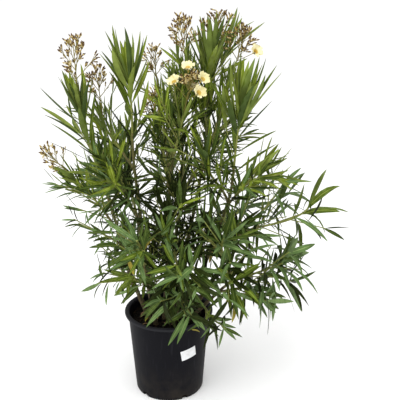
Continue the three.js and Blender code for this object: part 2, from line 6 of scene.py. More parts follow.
import bmesh
import bpy
import numpy as np
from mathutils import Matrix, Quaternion, Vector


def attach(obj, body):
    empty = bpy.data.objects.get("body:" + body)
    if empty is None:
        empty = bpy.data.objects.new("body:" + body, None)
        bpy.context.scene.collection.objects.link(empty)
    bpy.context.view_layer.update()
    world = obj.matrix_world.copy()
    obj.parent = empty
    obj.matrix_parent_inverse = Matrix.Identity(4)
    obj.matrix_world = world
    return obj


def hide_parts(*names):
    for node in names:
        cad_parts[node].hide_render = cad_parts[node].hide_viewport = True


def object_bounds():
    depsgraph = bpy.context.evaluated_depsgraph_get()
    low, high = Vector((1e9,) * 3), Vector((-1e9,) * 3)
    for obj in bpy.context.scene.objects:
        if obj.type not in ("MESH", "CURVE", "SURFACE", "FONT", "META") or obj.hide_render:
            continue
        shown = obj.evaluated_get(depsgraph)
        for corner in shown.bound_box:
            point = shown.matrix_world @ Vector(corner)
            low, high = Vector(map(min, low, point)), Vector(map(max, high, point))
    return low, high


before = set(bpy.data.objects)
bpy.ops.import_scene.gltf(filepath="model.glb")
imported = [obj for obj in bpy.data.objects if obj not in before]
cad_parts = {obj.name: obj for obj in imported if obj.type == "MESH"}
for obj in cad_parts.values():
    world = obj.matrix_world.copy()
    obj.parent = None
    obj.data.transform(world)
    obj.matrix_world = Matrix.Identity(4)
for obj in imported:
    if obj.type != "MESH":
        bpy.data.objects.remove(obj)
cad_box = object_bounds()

MM = 0.001
UP = Vector((0, 0, 1))
SEED = 41
LINE_STEPS = 40
HAIR = 1e-3

# The pot. The lip's section, as height and radius, runs from under its edge over to the inside.
POT_HEIGHT = 270
RIM_RADIUS = 138
LIP_HEIGHT = 10
NECK_RADIUS = 127
FOOT_RADIUS = 107
FOOT_ROUND = 5
FOOT_EDGE = (0.9, 105)
WALL = 2.4
FLOOR = 3
POT_SIDES = 144
WALL_STEPS = 14
INNER_STEPS = 6
INNER_TOP = 267
LIP_ROLL = [
    (259.6, 129),
    (260.2, 135.4),
    (261.4, 137.4),
    (263.6, 138),
    (266.4, 138),
    (268.7, 137.3),
    (270, 135.4),
    (270, 131),
    (269.6, 127.6),
    (268.6, 125.6),
]
DRAIN = {"wide": 16, "high": 14, "deep": 10, "round": 3}
DRAIN_HEADINGS = [-134, -62, 10, 82, 154]

# The soil, its crumbs, and the bare sticker on the wall. A relief is its lumps' size and rise, in metres.
SOIL_TOP = 240
SOIL_SUNK = 2
SOIL_FOOT = 5
SOIL_CLEAR = 0.6
SOIL_SIDES = 96
SOIL_INSETS = 22
SOIL_LUMPS = (0.022, 0.011)
SOIL_GRAINS = (0.005, 0.004)
CRUMBS = {"count": 900, "edge": 5, "high": (-1.5, 2.5), "size": (1.2, 4.6), "lean": 50}
CRUMB_PLACES = 700
STICKER = {"wide": 52, "high": 35, "heading": -58, "up": 167, "tilt": 10, "off": 0.9, "thick": 0.25}
STICKER_CREASES = (0.012, 0.0006)

# Canes
GAP = 0.3
CANE_TIP = 4.2
FLARE = {"share": 0.35, "fall": 12}
CANE_SIDES = 20
CANE_STEP = 7
CANE_SUNK = 8
CANE_SKIN = 0.92
CANE_END = [(0.5, 0.85), (0.85, 0.45)]
NODE = {"every": 46, "swell": 0.09, "long": 5}
BARK_RELIEF = (0.012, 0.0016)

# Shoots, twigs and stalks, and each one's radius at its foot and its tip
TWIG_LEAN = 36
TWIG_LENGTH = (85, 135)
TWIG_ZONE = (0.4, 0.84)
FINER_FOOT = 0.12
TWIG_SWAY = 0.7
TWIG_TRIES = (1, 0.8, 0.6)
TWIG_TURNS = 6
TWIG_ROOM = 2.4
GOLDEN_TURN = 137.5
CANE_PULL = 0.35
STEEP = 0.05
OLD_WOOD = 0.34
STEMS = {
    "shoot": (4.3, 2.7),
    "twig": (2.0, 1.4),
    "stalk": (1.9, 1.2),
    "branch": (1.3, 0.9),
    "flower": (1.1, 0.9),
    "side": (0.75, 0.6),
    "neck": (0.55, 0.55),
}

# How leaves grow along a stem
SWING = 14
TURN_SWAY = 16
SPREAD_SWAY = 12
LOW_SPREAD = 36
LOW_CROWN = {"from": 380, "over": 400}
LEAF_SIZES = (0.85, 1.08)
LEAF_STAGGER = 4
LEAF_WIDEST = 0.45
LEAF_HALF = 0.055
LEAVES_IN_WHORL = 3
STEM_FOOT = 0.1
YOUNG_BELOW = 60
YOUNG_HANG = 0.4
OLD_LEAVES = {"share": 0.74, "below": 260}
DROOP = (0.02, 0.12)
DRAWN_IN = 0.4
LOW_HANG = 0.4
TWIG_EVERY = 24
TWIG_OPENS = 12
TWIG_LEAF = 0.76
TWIG_KEEP = 0.8
KEEP = [(60, 1.0), (120, 0.85), (200, 0.72), (400, 0.6)]
FITTINGS = [(1, 1), (1, 0.7), (0.85, 0.85), (0.75, 0.6), (0.62, 0.8)]

# Room between masses, limbs and the pot. Finer growth may lean a little into its neighbours' room.
MARGIN = 2.5
LOOSE = 42
LIMB_ROOM = 1.5
POT_ROOM = 3
BOW_ROOM = 6
BEYOND_TIP = 90
LOWEST_LEAF = 60
CHECKED_AT = np.array([0.12, 0.25, 0.4, 0.55, 0.7, 0.85, 1])

# Whorls: how far below the tip, spread off the stem, share of the leaf length, address, and turn round the
# stem. Addresses under 10 are the whorls of the solids, and those from 20 are found in dense tips alone.
WHORLS = [
    (4, 14, 0.92, 0, 0),
    (8, 13, 0.95, 20, 30),
    (14, 20, 0.86, 10, 60),
    (20, 22, 1.0, 21, 90),
    (26, 30, 1.0, 1, 0),
    (34, 28, 1.0, 22, 30),
    (43, 38, 1.0, 11, 60),
    (62, 46, 1.0, 2, 0),
    (86, 52, 1.0, 12, 60),
    (112, 58, 0.95, 3, 0),
    (142, 62, 0.95, 13, 60),
    (175, 66, 0.9, 4, 0),
    (208, 68, 0.85, 14, 60),
    (244, 70, 0.85, 15, 0),
    (282, 72, 0.8, 16, 60),
    (320, 74, 0.8, 17, 0),
    (360, 74, 0.8, 18, 60),
]
SHOOT_WHORLS = (0, 1, 2, 3, 4)
TWIG_WHORLS = (0, 2)
ADDED_WHORLS = 10
DENSE_WHORLS = 20
OPEN_TIP = 100

# Canes: name, distance and heading of the foot from the pot's middle, the far end, how soon the cane leans
# over to it, and radius.
CANE_KEYS = ("name", "foot", "fork", "out", "thick")
CANE_ROWS = [
    ("tall_left", (46, 165), (-97, 0, 757), 0.62, 8.5),
    ("far_left", (62, 190), (-152, -20, 560), 0.7, 8),
    ("centre", (14, 215), (13, -20, 748), 0.5, 9),
    ("centre_back", (40, 75), (110, 80, 733), 0.55, 8.5),
    ("right", (38, 2), (188, -30, 660), 0.6, 9),
    ("far_right", (66, 18), (216, 0, 519), 0.6, 8),
    ("low_right", (68, 330), (191, -70, 397), 0.45, 7),
    ("front", (50, 290), (50, -110, 400), 0.4, 7.5),
    ("front_left", (62, 232), (-60, -120, 430), 0.5, 7),
    ("low_left", (70, 155), (-140, 30, 380), 0.45, 7),
    ("back", (52, 108), (40, 150, 600), 0.55, 8.5),
    ("back_left", (62, 128), (-110, 140, 560), 0.6, 8),
    ("back_right", (68, 48), (150, 150, 450), 0.55, 7.5),
]

# Shoots: name, cane, where the shoot leaves it, the shoot's head, lean and heading, leaf length, and the
# number of side twigs that the solid has.
SHOOT_KEYS = ("name", "cane", "from", "head", "lean", "leaf", "twigs")
SHOOT_ROWS = [
    ("tall_left", "tall_left", 1, (-103, -20, 996), (8, 180), 190, 0),
    ("left_buds", "far_left", 1, (-240, -50, 930), (9, 180), 220, 1),
    ("left_inner", "tall_left", 0.93, (-188, 40, 880), (5, 180), 125, 1),
    ("left_low_buds", "far_left", 0.93, (-268, -20, 705), (44, 180), 112, 1),
    ("left_mid", "tall_left", 0.8, (-150, -110, 730), (16, 215), 135, 2),
    ("left_fill", "tall_left", 0.6, (-165, 60, 690), (24, 160), 125, 1),
    ("left_low", "far_left", 0.78, (-190, -90, 562), (54, 200), 82, 1),
    ("left_bottom", "low_left", 1, (-150, 20, 422), (72, 190), 70, 1),
    ("left_back", "low_left", 0.85, (-125, 165, 485), (46, 130), 100, 1),
    ("front_left", "front_left", 1, (-75, -225, 594), (42, 245), 130, 2),
    ("front_left_low", "front_left", 0.85, (-100, -160, 450), (66, 235), 112, 2),
    ("front", "front", 1, (81, -260, 531), (64, 275), 125, 1),
    ("front_low", "front", 0.82, (30, -165, 385), (88, 235), 125, 1),
    ("low_centre", "front", 0.88, (5, -150, 640), (18, 260), 145, 2),
    ("front_right", "low_right", 1, (165, -200, 590), (36, 300), 145, 2),
    ("front_right_low", "low_right", 0.86, (200, -185, 455), (66, 305), 125, 1),
    ("pot_side", "low_right", 0.4, (141, -100, 274), (108, 322), 88, 0),
    ("right_low", "low_right", 0.94, (347, -60, 453), (60, 350), 162, 2),
    ("right_bottom", "low_right", 0.72, (255, -80, 385), (76, 345), 138, 1),
    ("right_far", "far_right", 1, (424, 0, 606), (40, 0), 182, 1),
    ("right_mid", "far_right", 0.93, (345, 80, 640), (34, 20), 135, 1),
    ("right_upper", "right", 0.9, (260, -100, 748), (40, 350), 150, 2),
    ("right_inner", "far_right", 0.86, (215, -100, 600), (30, 320), 130, 1),
    ("tall_right", "right", 1, (212, -70, 905), (11, 350), 210, 0),
    ("top_right", "centre_back", 0.9, (188, 50, 985), (16, 0), 125, 1),
    ("top", "centre_back", 1, (129, 40, 1040), (5, 0), 190, 1),
    ("top_left", "centre", 1, (62, 20, 1015), (8, 180), 125, 1),
    ("centre_flowers", "centre", 0.95, (52, -75, 908), (12, 0), 140, 2),
    ("mid_left", "centre", 0.9, (-25, 90, 945), (7, 175), 78, 1),
    ("mid_left_low", "centre", 0.82, (-20, -30, 863), (12, 200), 120, 1),
    ("centre", "right", 0.94, (114, -110, 802), (8, 280), 150, 2),
    ("middle", "centre", 0.55, (40, -60, 700), (18, 290), 130, 1),
    ("low_inner", "right", 0.45, (85, -60, 545), (14, 300), 120, 1),
    ("low_inner_left", "front_left", 0.55, (-50, -60, 505), (12, 180), 115, 1),
    ("back_left_tall", "back_left", 1, (-150, 200, 745), (14, 130), 135, 2),
    ("back_left_low", "back_left", 0.9, (-220, 230, 640), (46, 140), 140, 1),
    ("back_tall", "back", 1, (45, 210, 900), (8, 80), 155, 2),
    ("back_low", "back", 0.88, (0, 290, 640), (50, 95), 145, 1),
    ("back_right_tall", "back", 0.93, (160, 230, 830), (14, 70), 125, 2),
    ("back_right", "back_right", 1, (262, 230, 555), (50, 35), 120, 1),
    ("back_right_low", "back_right", 0.86, (180, 290, 450), (66, 65), 140, 1),
    ("back_bottom", "back_right", 0.7, (-30, 250, 420), (78, 105), 130, 1),
]

# Where a shoot differs from the common rule. fan: how far its leaves open; fill: its share of leaves and
# finer twigs; finer: its share of finer twigs, where that is another; bare: where on the stem those end;
# tips: dense with whorls or open; turn: how its whorls are turned; young: the share of their length that
# the youngest leaves have; hang: how far its leaves may hang; firm: the share of that for the youngest.
COMMON = {"fan": 1, "fill": 1, "bare": 0.88, "tips": "", "young": 1, "firm": YOUNG_HANG}
HABITS = {
    "tall_left": {"fan": 0.78, "fill": 0.55, "finer": 0.12, "bare": 0.5, "tips": "dense"},
    "left_buds": {"fan": 0.62, "fill": 0.45, "bare": 0.5, "tips": "dense", "turn": 46, "young": 0.45},
    "left_inner": {"fan": 0.62, "finer": 0.7, "young": 0.65},
    "left_low_buds": {"fan": 0.75, "fill": 0.3},
    "left_mid": {"fill": 1.2},
    "left_fill": {"fill": 1.3},
    "left_low": {"fill": 0.45, "tips": "open"},
    "left_bottom": {"fill": 0.8, "tips": "open", "hang": 0.15},
    "front_left": {"tips": "open"},
    "front_left_low": {"fill": 0.9, "tips": "open", "hang": 0.15},
    "front": {"tips": "open", "hang": 0.35},
    "front_low": {"fill": 1.6, "tips": "open"},
    "low_centre": {"fill": 1.3},
    "front_right": {"fill": 0.7},
    "front_right_low": {"fill": 0.7, "tips": "open", "hang": 0.15},
    "pot_side": {"fill": 0.8, "tips": "open"},
    "right_low": {"fill": 0.7, "tips": "open", "hang": 0.8},
    "right_bottom": {"fill": 0.6, "tips": "open"},
    "right_far": {"fill": 0.4, "bare": 0.5, "tips": "open", "hang": 2, "firm": 0.1},
    "right_mid": {"fill": 0.45, "tips": "open", "hang": 0.5},
    "right_upper": {"fan": 0.8, "fill": 0.65, "hang": 0.3},
    "right_inner": {"fill": 0.45},
    "tall_right": {"fan": 0.8, "fill": 0.45, "finer": 0.3, "bare": 0.5, "tips": "dense", "turn": 112},
    "top_right": {"fan": 0.7, "fill": 0.7, "young": 0.65},
    "top": {"fan": 0.66, "tips": "dense", "turn": 36},
    "top_left": {"fan": 0.75, "young": 0.8},
    "centre_flowers": {"young": 0.8},
    "mid_left": {"fan": 0.5, "fill": 0.3, "tips": "open"},
    "mid_left_low": {"fan": 0.8, "fill": 0.8},
    "middle": {"fill": 1.5},
    "low_inner": {"fill": 1.7},
    "low_inner_left": {"fill": 1.7},
    "back_right": {"fill": 0.35},
    "back_right_low": {"fill": 0.6},
}

# What a shoot carries at its tip, and the length of that stalk. nod: the stalk's own lean and heading;
# pale: the share of cream buds; thin: the share of buds that are left on a sparse spray.
BLOOMS = {
    "left_buds": {"top": "buds", "stalk": 148, "nod": (3, 180)},
    "left_inner": {"top": "buds", "stalk": 110, "pale": 0.3, "thin": 0.72},
    "left_low_buds": {"top": "buds", "stalk": 98, "pale": 0.5, "thin": 0.55},
    "top_right": {"top": "flower", "stalk": 120},
    "top": {"top": "buds", "stalk": 120, "nod": (12, 0)},
    "top_left": {"top": "buds", "stalk": 115},
    "centre_flowers": {"top": "flowers", "stalk": 98, "pale": 0.55},
    "mid_left": {"top": "buds", "stalk": 95, "pale": 0.4, "thin": 0.6},
    "mid_left_low": {"top": "buds", "stalk": 82, "pale": 0.6, "thin": 0.6},
}
COMMON_BLOOM = {"top": None, "pale": 0.2, "thin": 1}

# Rows of branches on a spray of bloom: how far up its stalk, and their lean, length and turn round it. The
# first two rows are the solid's. Open flowers stand on some branches, by row and place in it, and the others
# end in buds.
SPRAY = [
    {"up": 0.55, "lean": 50, "long": 62, "turn": 14},
    {"up": 0.96, "lean": 20, "long": 50, "turn": -14},
    {"up": 0.76, "lean": 36, "long": 60, "turn": 46},
]
SPRAY_STALK = 110
SPRAY_SIZES = (0.8, 1.1)
SPRAY_SWAY = 20
SPRAY_STEP = 0.05
STALK_SUNK = 4
OPEN_FLOWERS = {"flowers": [(0, 0), (0, 1), (0, 2), (1, 0), (2, 1)], "flower": [(0, 1)], "buds": []}

# Buds: how they sit in their tufts, and height and radius as shares of a bud's length
BRANCH_SPARE = 14
BRANCH_BOW = (0.93, 0.12)
SIDE_BRANCHES = 5
SIDE_FROM = 0.4
SIDE_LENGTH = (9, 18)
SIDE_SPREAD = (44, 8)
BUDS_TOGETHER = 3
BUD_SPREAD = 26
BUD_NECK = (1.5, 6)
NECK_SUNK = 0.3
BUD_LENGTH = (12, 19)
THIRD_BUD = 0.45
TOP_ROOM = 3
BUD_PROFILE = [
    (0, 0.05),
    (0.06, 0.09),
    (0.25, 0.1),
    (0.5, 0.14),
    (0.72, 0.13),
    (0.9, 0.065),
    (1, 0.012),
]
BUD_ZONES = (0.2, 0.6)
PALE_KINDS = np.array([0, 3, 1])

# The open flower: height, radius, and how far in each cleft stands at that height; then the steps to either
# side of a cleft and how nearly whole the lobe is there.
PETALS = 5
FLOWER_SIDES = 30
FLOWER_PROFILE = [
    (0, 1.5, 1),
    (7, 2.1, 1),
    (12, 4.2, 1),
    (16.5, 7.6, 1),
    (20, 11, 0.9),
    (23, 15, 0.78),
    (25, 18.5, 0.68),
    (25.4, 20.5, 0.6),
]
CLEFT_SIDES = [(0, 0), (1, 0.62), (2, 0.93)]
PETAL_THICK = 0.5
THROAT = 6
RUFFLE = {"high": 2.6, "waves": 13, "uneven": 1.3}
FLOWER_SEAT = 0.85
FLOWER_FACE = (60, 275)
FACE_SHARES = (0.7, 0.55)
INNER_PETALS = (0.72, 36)

# Along a leaf: how far from its root, and half its width there as a share of its half width. Then a leaf's
# section at its widest, and how broad, arched, swept, folded and twisted it is, from least to most. Leaves
# low in the crown are broader and hang, and those at a shoot's tip stand upright.
LEAF_WIDTHS = [
    (0, 0.14),
    (0.05, 0.16),
    (0.15, 0.56),
    (0.3, 0.9),
    (0.47, 1.0),
    (0.65, 0.88),
    (0.81, 0.6),
    (0.93, 0.27),
]
LEAF_SECTION = [(-1, 0.2), (-0.11, 0.0), (0.11, 0.0), (1, 0.2), (0, -0.07)]
BREADTH = (0.84, 1.12)
INNER_BREADTH = 0.66
HIGH_BREADTH = 0.86
LOW_BREADTH = 0.6
ARCH = (-0.03, 0.1)
LOW_ARCH = 0.06
TIP_ARCH = {"most": 0.12, "below": 80, "twig": 0.4}
SWEEP = (-0.09, 0.09)
FOLD = (0.6, 2.4)
TWIST = (-44, 44)
HIGH_TWIST = 0.6

# Where the crown's leaves are painted lighter or darker, and the tints of the leaves in linear light: the
# blade above, its rib, and its paler underside. The tints stand partly for light: sunlit is painted light on
# high outer leaves, the greyer tint is a painted sheen on low front leaves, and deep and shaded are painted
# shade inside the crown. Which tint a leaf takes also follows its spray, its own chance and its age, its own
# tone.
CROWN = {"x": 40, "z": 640, "wide": 360, "deep": 320, "high": 520, "core": 0.3, "skin": 0.5}
LEAF_MIDDLE = 0.6
LEAVES_FROM = 350
LEAVES_OVER = 700
SUNLIT_ABOVE = 0.5
# Painted light by a leaf's height and depth in the crown, with its own tone by spray, chance and age
BRIGHT = {"height": 0.4, "deep": 0.7, "spray": 0.3, "own": 0.95, "below": 0.0012}
LEAST_BRIGHT = {"sunlit": 0.98, "fresh": 0.66, "deep": 0.42}
TURNING = {"share": 0.007, "lower": 0.5}
# Painted sheen: low leaves in front, on most sprays, take the greyer tint
PAINTED_SHEEN = {"lower": 0.62, "sprays": 0.8}
TINTS = {
    "sunlit": ((0.145, 0.195, 0.016), (0.34, 0.39, 0.085), (0.19, 0.24, 0.05)),
    "fresh": ((0.084, 0.126, 0.012), (0.23, 0.28, 0.055), (0.125, 0.17, 0.036)),
    "deep": ((0.038, 0.063, 0.01), (0.115, 0.155, 0.034), (0.062, 0.094, 0.024)),
    "sheen_grey": ((0.092, 0.154, 0.046), (0.21, 0.285, 0.1), (0.145, 0.21, 0.085)),
    "shaded": ((0.013, 0.02, 0.003), (0.032, 0.042, 0.008), (0.022, 0.032, 0.007)),
    "turning": ((0.3, 0.25, 0.035), (0.38, 0.33, 0.08), (0.3, 0.25, 0.06)),
    "dry": ((0.24, 0.15, 0.08), (0.3, 0.2, 0.11), (0.2, 0.12, 0.06)),
}

# The right edge of each piece of leaves, and the front edge of the one behind
LEAF_GROUPS = {"left": -60, "middle": 150, "right": math.inf, "back": 120}

# Fallen leaves on the soil: place, heading, length, share of width, and tint
FALLEN = [
    ((-88, -8, 243), 40, 34, 2.6, "dry"),
    ((-62, 8, 243), 120, 26, 2.2, "dry"),
    ((-72, -38, 243), 75, 40, 1.2, "turning"),
    ((-45, -44, 243), 60, 36, 1.5, "turning"),
    ((-84, -62, 243), 10, 32, 1.1, "dry"),
    ((55, 2, 243), 20, 16, 1.6, "turning"),
    ((68, -98, 246), -25, 34, 1.4, "turning"),
    ((20, -40, 243), 200, 38, 1.3, "dry"),
    ((-10, 60, 243), 300, 46, 1.3, "dry"),
    ((70, 60, 243), 160, 44, 1.2, "dry"),
    ((-40, 80, 243), 30, 40, 1.2, "turning"),
]
FALLEN_PLACES = 800
CURL = {"rise": 0.16, "fold": 3.4, "sweep": 0.1, "twist": (-60, 60)}

# The camera and the studio, in metres
CAMERA_PLACE = (0.0985, -2.2, 1.42)
CAMERA_PITCH = 19.7
CAMERA_LENS = 70.2
CAMERA_SENSOR = 36
CAMERA_REACH = 400
FLOOR_SIZE = 120
SURROUND = 1.1
LIT_POINT = (0.05, 0, 0.6)
LIGHTS = [
    {"name": "key", "place": (-1.0, -1.8, 3.2), "size": 3.4, "power": 80},
    {"name": "fill", "place": (2.2, -1.4, 2.4), "size": 2.2, "power": 14},
]


# The rule of growth


def chance(*address):
    """A number from 0 to 1 that is always the same for one place in the plant."""
    word = SEED
    for step in address:
        word = ((word ^ (step + 1)) * 0x9E3779B1) & 0xFFFFFFFF
        word ^= word >> 15
        word = (word * 0x85EBCA6B) & 0xFFFFFFFF
        word ^= word >> 13
    return word / 4294967296


def between(low, high, share):
    """The value that lies a share of the way from low to high."""
    return low + (high - low) * share


def limit(value, low=0, high=1):
    """A value kept between low and high."""
    return max(low, min(high, value))


def leaning(degrees, heading):
    """The direction that leans so many degrees from upright towards a heading."""
    lean = math.radians(degrees)
    way = math.radians(heading)
    return Vector((math.sin(lean) * math.cos(way), math.sin(lean) * math.sin(way), math.cos(lean)))


class Line:
    """A Bezier line by its control points, in millimetres."""

    def __init__(self, *points):
        self.points = [Vector(p) for p in points]
        steps = [self.at(i / LINE_STEPS) for i in range(LINE_STEPS + 1)]
        self.length = sum((b - a).length for a, b in zip(steps, steps[1:]))

    def at(self, share):
        """The place that lies a share of the way along."""
        points = self.points
        while len(points) > 1:
            points = [a.lerp(b, share) for a, b in zip(points, points[1:])]
        return points[0]

    def tangent(self, share):
        """The direction that the line runs in at a share of the way."""
        low = max(0.0, share - HAIR)
        high = min(1.0, share + HAIR)
        return (self.at(high) - self.at(low)).normalized()


def straight(start, axis, length):
    """A straight line from a start along an axis."""
    return Line(start, start + axis * length)


def frame_at(line, share, turn=0.0):
    """The directions at one place on a line, turned round it: along it, level across it, square to both."""
    axis = line.tangent(share)
    chord = line.at(1) - line.at(0)
    level = UP.cross(chord)
    if level.length < STEEP * chord.length:
        level = Vector((1, 0, 0))
    side = (level - axis * level.dot(axis)).normalized()
    side.rotate(Quaternion(axis, math.radians(turn)))
    return axis, side, axis.cross(side)


def off_axis(directions, spread, turn):
    """The direction off a frame's axis by a spread, at a turn round it."""
    axis, side, rise = directions
    out = side * math.cos(math.radians(turn)) + rise * math.sin(math.radians(turn))
    return (out * math.sin(math.radians(spread)) + axis * math.cos(math.radians(spread))).normalized()


def cane_line(cane):
    """The line that a cane follows from the soil to its fork."""
    out, heading = cane["foot"]
    foot = leaning(90, heading) * out
    foot.z = SOIL_TOP + GAP
    fork = Vector(cane["fork"])
    bend = foot.lerp(fork, cane["out"])
    bend.z = (foot.z + fork.z) / 2
    return Line(foot, bend, fork)


def cane_radius(cane, share):
    """A cane's radius: an even taper, with a flare that dies out just above the soil."""
    flare = cane["thick"] * FLARE["share"] * math.exp(-share * cane["line"].length / FLARE["fall"])
    return between(cane["thick"], CANE_TIP, share) + flare


def shoot_line(shoot):
    """The line that a shoot follows from its cane to its head, coming into line with its lean."""
    cane = next(c for c in CANES if c["name"] == shoot["cane"])
    start = cane["line"].at(shoot["from"])
    head = Vector(shoot["head"])
    reach = (head - start).length
    aim = leaning(*shoot["lean"])
    pull = cane["line"].tangent(shoot["from"]) * CANE_PULL
    leave = ((head - start).normalized() + pull).normalized()
    return Line(start, start + leave * reach / 3, head - aim * reach / 3, head)


def plan_cane(row):
    """One cane with its line."""
    cane = dict(zip(CANE_KEYS, row))
    cane["line"] = cane_line(cane)
    return cane


def plan_shoot(number, row):
    """One shoot with its own habits, or the common ones where it has none. low is 1 at the crown's foot."""
    shoot = {**COMMON, **COMMON_BLOOM, **dict(zip(SHOOT_KEYS, row)), "id": number}
    shoot.update(HABITS.get(shoot["name"], {}))
    shoot.update(BLOOMS.get(shoot["name"], {}))
    shoot["line"] = shoot_line(shoot)
    shoot["low"] = 1 - limit((shoot["head"][2] - LOW_CROWN["from"]) / LOW_CROWN["over"])
    shoot.setdefault("finer", shoot["fill"])
    shoot.setdefault("turn", 120 * chance(number, 20))
    shoot.setdefault("hang", LOW_HANG * shoot["low"])
    shoot.setdefault("nod", shoot["lean"])
    return shoot


def stretches(lines):
    """Starts and ends of each line's stretches, as two arrays: line, stretch, xyz."""
    points = np.array([[list(p) for p in line] for line in lines])
    return points[:, :-1], points[:, 1:]


def places_along(line, steps):
    """Places at even steps along a line, with both of its ends."""
    return [line.at(i / steps) for i in range(steps + 1)]


def shoot_reach(shoot):
    """Places along a shoot and one well beyond its tip, which its own space is measured from."""
    beyond = Vector(shoot["head"]) + leaning(*shoot["lean"]) * BEYOND_TIP
    return [*places_along(shoot["line"], 7)[1:], beyond]


CANES = [plan_cane(row) for row in CANE_ROWS]
SHOOTS = [plan_shoot(number, row) for number, row in enumerate(SHOOT_ROWS)]
CANE_STRETCHES = stretches([places_along(c["line"], 8) for c in CANES])
SHOOT_STRETCHES = stretches([shoot_reach(s) for s in SHOOTS])
CANE_THICK = np.array([c["thick"] for c in CANES])
SHOOT_LEAF = np.array([s["leaf"] for s in SHOOTS])
CROWN_LOW = np.array(cad_box[0]) / MM
CROWN_HIGH = np.array(cad_box[1]) / MM


def gaps_to(points, starts, ends):
    """The distance from each point to each line: points down, lines across."""
    run = ends - starts
    off = points[:, None, None, :] - starts[None]
    share = np.clip((off * run).sum(-1) / (run * run).sum(-1), 0, 1)
    return np.linalg.norm(off - share[..., None] * run, axis=-1).min(-1)


def inner_radius(z):
    """The pot wall's inner radius at a height."""
    return between(FOOT_RADIUS - WALL, NECK_RADIUS - WALL, (z - FLOOR) / (POT_HEIGHT - FLOOR))


def wall_radius(z):
    """The pot's outer radius at a height on its sloping wall."""
    return between(FOOT_RADIUS, NECK_RADIUS, (z - FOOT_ROUND) / (POT_HEIGHT - LIP_HEIGHT - FOOT_ROUND))


def meets_pot(points):
    """Whether any point comes too near to the pot or the soil, or hangs too low beside the pot."""
    out = np.hypot(points[:, 0], points[:, 1])
    z = points[:, 2]
    near_pot = (z <= POT_HEIGHT + POT_ROOM) & (out <= RIM_RADIUS + POT_ROOM)
    in_wall = (z < SOIL_TOP + POT_ROOM) | (out > inner_radius(POT_HEIGHT) - POT_ROOM)
    return (near_pot & in_wall).any() or (z < LOWEST_LEAF).any()


def in_own_space(points, halves, shoot, margin):
    """Whether each of a blade's points keeps to its shoot's space, and clear of the canes and the pot."""
    slack = halves[:, None] + BOW_ROOM * (halves[:, None] > 0)
    if meets_pot(points) or (points - slack < CROWN_LOW).any() or (points + slack > CROWN_HIGH).any():
        return False
    if (gaps_to(points, *CANE_STRETCHES) < CANE_THICK + halves[:, None] + LIMB_ROOM).any():
        return False
    gaps = gaps_to(points, *SHOOT_STRETCHES)
    own = (gaps[:, shoot["id"]] + margin + halves) / shoot["leaf"]
    others = np.delete(gaps / SHOOT_LEAF, shoot["id"], axis=1).min(1)
    return bool((others > own).all())


def fits(line, shoot, widest, margin):
    """Whether a blade or twig along a line keeps to its shoot's space, from a little above its root."""
    rising = CHECKED_AT / LEAF_WIDEST
    falling = (1 - CHECKED_AT) / (1 - LEAF_WIDEST)
    halves = widest * np.minimum(1, np.minimum(rising, falling))
    points = np.array([list(line.at(s)) for s in CHECKED_AT])
    return in_own_space(points, halves, shoot, margin)


def twig_line(shoot, index, zone, count, margin):
    """A side twig's line. Of the turns that it may take, the first one that fits is kept."""
    along = between(*zone, (index % count + chance(shoot["id"], index, 1) * TWIG_SWAY) / count)
    start = shoot["line"].at(along)
    first = GOLDEN_TURN * index + 360 * chance(shoot["id"], index, 2)
    length = between(*TWIG_LENGTH, chance(shoot["id"], index, 3))
    for share in TWIG_TRIES:
        for step in range(TWIG_TURNS):
            turn = first + 360 / TWIG_TURNS * step
            aim = off_axis(frame_at(shoot["line"], along), TWIG_LEAN, turn)
            twig = straight(start, aim, length * share)
            if fits(twig, shoot, TWIG_ROOM, margin):
                return twig
    return None


def leaf_line(root, out, length, droop):
    """The line from a leaf's root to its point: it leaves at its spread and bows over with its own weight."""
    tip = root + out * length * (1 - DRAWN_IN * droop) - UP * length * droop
    return Line(root, root + out * length * 0.5, tip)


def fit_leaf(root, directions, spread, turn, length, droop, shoot):
    """A leaf as it would grow, or shorter or closer to its stem where that has room, or none."""
    for long, open_share in FITTINGS:
        out = off_axis(directions, spread * open_share, turn)
        line = leaf_line(root, out, length * long, droop)
        if fits(line, shoot, length * long * LEAF_HALF, -LOOSE):
            return {"line": line, "out": out, "axis": directions[0], "length": length * long}
    return None


def has_whorl(shoot, below, index, is_twig):
    """Whether a stem has the whorl of that address: tips may be open, common or dense."""
    if index >= DENSE_WHORLS and shoot["tips"] != "dense":
        return False
    single = is_twig or shoot["tips"] == "open"
    return not (single and index >= ADDED_WHORLS and below < OPEN_TIP)


def keep_share(shoot, below, is_twig):
    """The share of leaves left at a distance below a tip: young whorls are whole, and old ones thin out."""
    share = next(kept for depth, kept in KEEP if below <= depth)
    if below > KEEP[0][0]:
        share *= shoot["fill"]
    return share * (TWIG_KEEP * shoot["fill"] ** 0.5 if is_twig else 1)


def grow_leaf(stem, at, shoot, place, whorl, stem_turn, is_twig):
    """One leaf of a whorl, turned, spread, sized and bowed by its place."""
    below, spread, share, index, offset = whorl
    age = limit(below / YOUNG_BELOW)
    swing = SWING if index % 2 == 0 else -SWING
    turn = 90 + 120 * place[-1] + offset + swing + TURN_SWAY * (chance(*place, 4) - 0.5)
    wide = spread * shoot["fan"] + LOW_SPREAD * shoot["low"] + SPREAD_SWAY * (chance(*place, 5) - 0.5)
    wide += TWIG_OPENS if is_twig else 0
    length = shoot["leaf"] * share * between(*LEAF_SIZES, chance(*place, 6))
    old = between(1, OLD_LEAVES["share"], limit(below / OLD_LEAVES["below"]))
    length *= old * (TWIG_LEAF if is_twig else 1)
    length *= between(shoot["young"], 1, age)
    hang = shoot["hang"] * between(shoot["firm"], 1, age)
    droop = between(*DROOP, chance(*place, 7)) + min(hang * chance(*place, 8) ** 2, 1)
    leaf = fit_leaf(stem.at(at), frame_at(stem, at, stem_turn), wide, turn, length, droop, shoot)
    if leaf:
        leaf.update(place=place, shoot=shoot, below=below, twig=is_twig)
    return leaf


